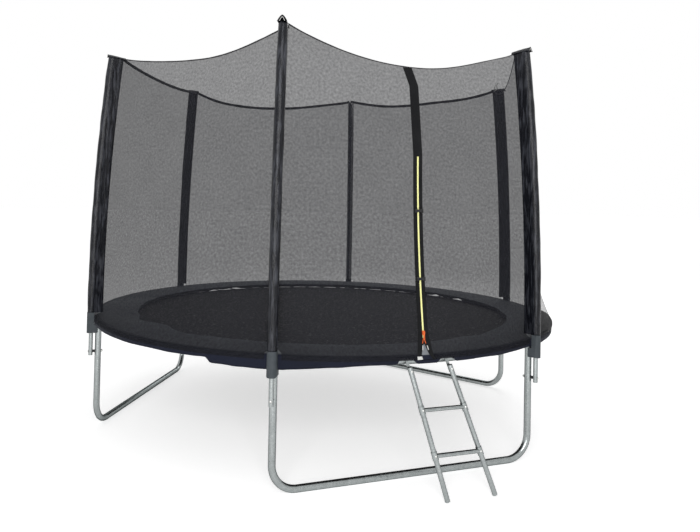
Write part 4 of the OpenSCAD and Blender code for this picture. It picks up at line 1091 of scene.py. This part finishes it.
def strip_grid(heights, sides, off, raise_by=0.0, flare=False):
    z = heights[:, None] * np.ones((1, len(sides)))
    out, high = strip_out(z, off + raise_by)
    at = np.broadcast_to(sides[None, :], z.shape)
    if flare:
        t = np.clip((FLARE_Z - z) / (FLARE_Z - HEM_Z), 0, 1)
        at = at * (1 + np.where(at < 0, FLARE_LEFT, FLARE_RIGHT) * t)
    return np.stack([strip_mid(z) + at, -out, high], axis=-1)


heights = np.concatenate([np.linspace(HEM_Z, CURVE_Z, 120),
                          np.linspace(CURVE_Z, STRIP_TOP, 50)[1:]])
sides = np.array([-0.5, -0.47, -0.42, -0.39, -0.2, 0, 0.2, 0.39, 0.42, 0.47, 0.5]) * DOOR_W
hem = np.array([0, 1, 1, 0, 0, 0, 0, 0, 1, 1, 0]) * HEM_RISE
front = strip_grid(heights, sides, STRIP_OFF, DOOR_T + hem[None, :], flare=True)
back = strip_grid(heights, sides, STRIP_OFF, flare=True)
strip = piece("door_cover", *slab(front, back), door_cloth)
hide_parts("door_strip")
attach(strip, "frame")

zip_heights = np.linspace(ZIP_LOW, ZIP_HIGH, 100)
tape_sides = np.array([-0.5, -0.2, 0.2, 0.5]) * ZIP_W
low_off, high_off = STRIP_OFF + DOOR_T + 0.0003, STRIP_OFF + DOOR_T + 0.0007
parts = [slab(strip_grid(zip_heights, tape_sides, high_off),
              strip_grid(zip_heights, tape_sides, low_off))]
for k, z in enumerate(np.arange(ZIP_LOW + 0.003, ZIP_HIGH - 0.003, TOOTH_PITCH)):
    shift = (0.5 if k % 2 else -0.5) * TOOTH_SHIFT
    ends = np.array([z - TOOTH_HALF, z + TOOTH_HALF])
    reach = np.array([-TOOTH_REACH, TOOTH_REACH]) + shift
    parts.append(slab(strip_grid(ends, reach, high_off, TOOTH_T),
                      strip_grid(ends, reach, high_off)))
zip_chain = piece("zip_teeth", *joined(parts), zip_yellow, smooth=False)
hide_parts("zip_chain")
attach(zip_chain, "frame")

# %% [markdown]
# Below the zip the strip opens into a gusset, with the zip's two tape ends, two pale tabs and a bit
# of white tape that ties the strip's foot to the pad.

# %%
PATCH_T = 0.0010


def patch(bottom, top, left, right, lean_left=0.0, lean_right=0.0, off=0.0009, rows=12):
    """A bit of tape on the strip: its heights, and its two edges from the strip's middle."""
    z = np.linspace(bottom, top, rows)
    t = np.linspace(1, 0, rows)[:, None]
    across = np.linspace(0, 1, 5)[None, :]
    a, b = left + lean_left * t, right + lean_right * t
    grids = []
    z = z[:, None] * np.ones((1, 5))
    for lift in (off + PATCH_T, off):
        out, high = strip_out(z, STRIP_OFF + DOOR_T + lift)
        grids.append(np.stack([strip_mid(z) + a + (b - a) * across, -out, high], axis=-1))
    return slab(*grids)


gusset = piece("door_gusset",
               *patch(0.6705, 0.742, -0.002, 0.002, -0.024, 0.034, 0.0007), pad_cover)
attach(gusset, "frame")
tape_ends = piece("zip_ends",
                  *joined([patch(0.744, 0.768, -0.004, 0.000, -0.006, -0.006),
                           patch(0.744, 0.768, 0.000, 0.004, 0.008, 0.008)]), slider_orange)
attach(tape_ends, "frame")
pale_tabs = piece("pale_tabs",
                  *joined([patch(0.714, 0.736, -0.010, -0.006, -0.002, -0.002, 0.0020),
                           patch(0.714, 0.734, 0.014, 0.0185, 0.006, 0.006, 0.0020),
                           patch(0.672, 0.688, -0.046, -0.020, -0.004, 0.0, 0.0022)]), tie_white)
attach(pale_tabs, "frame")
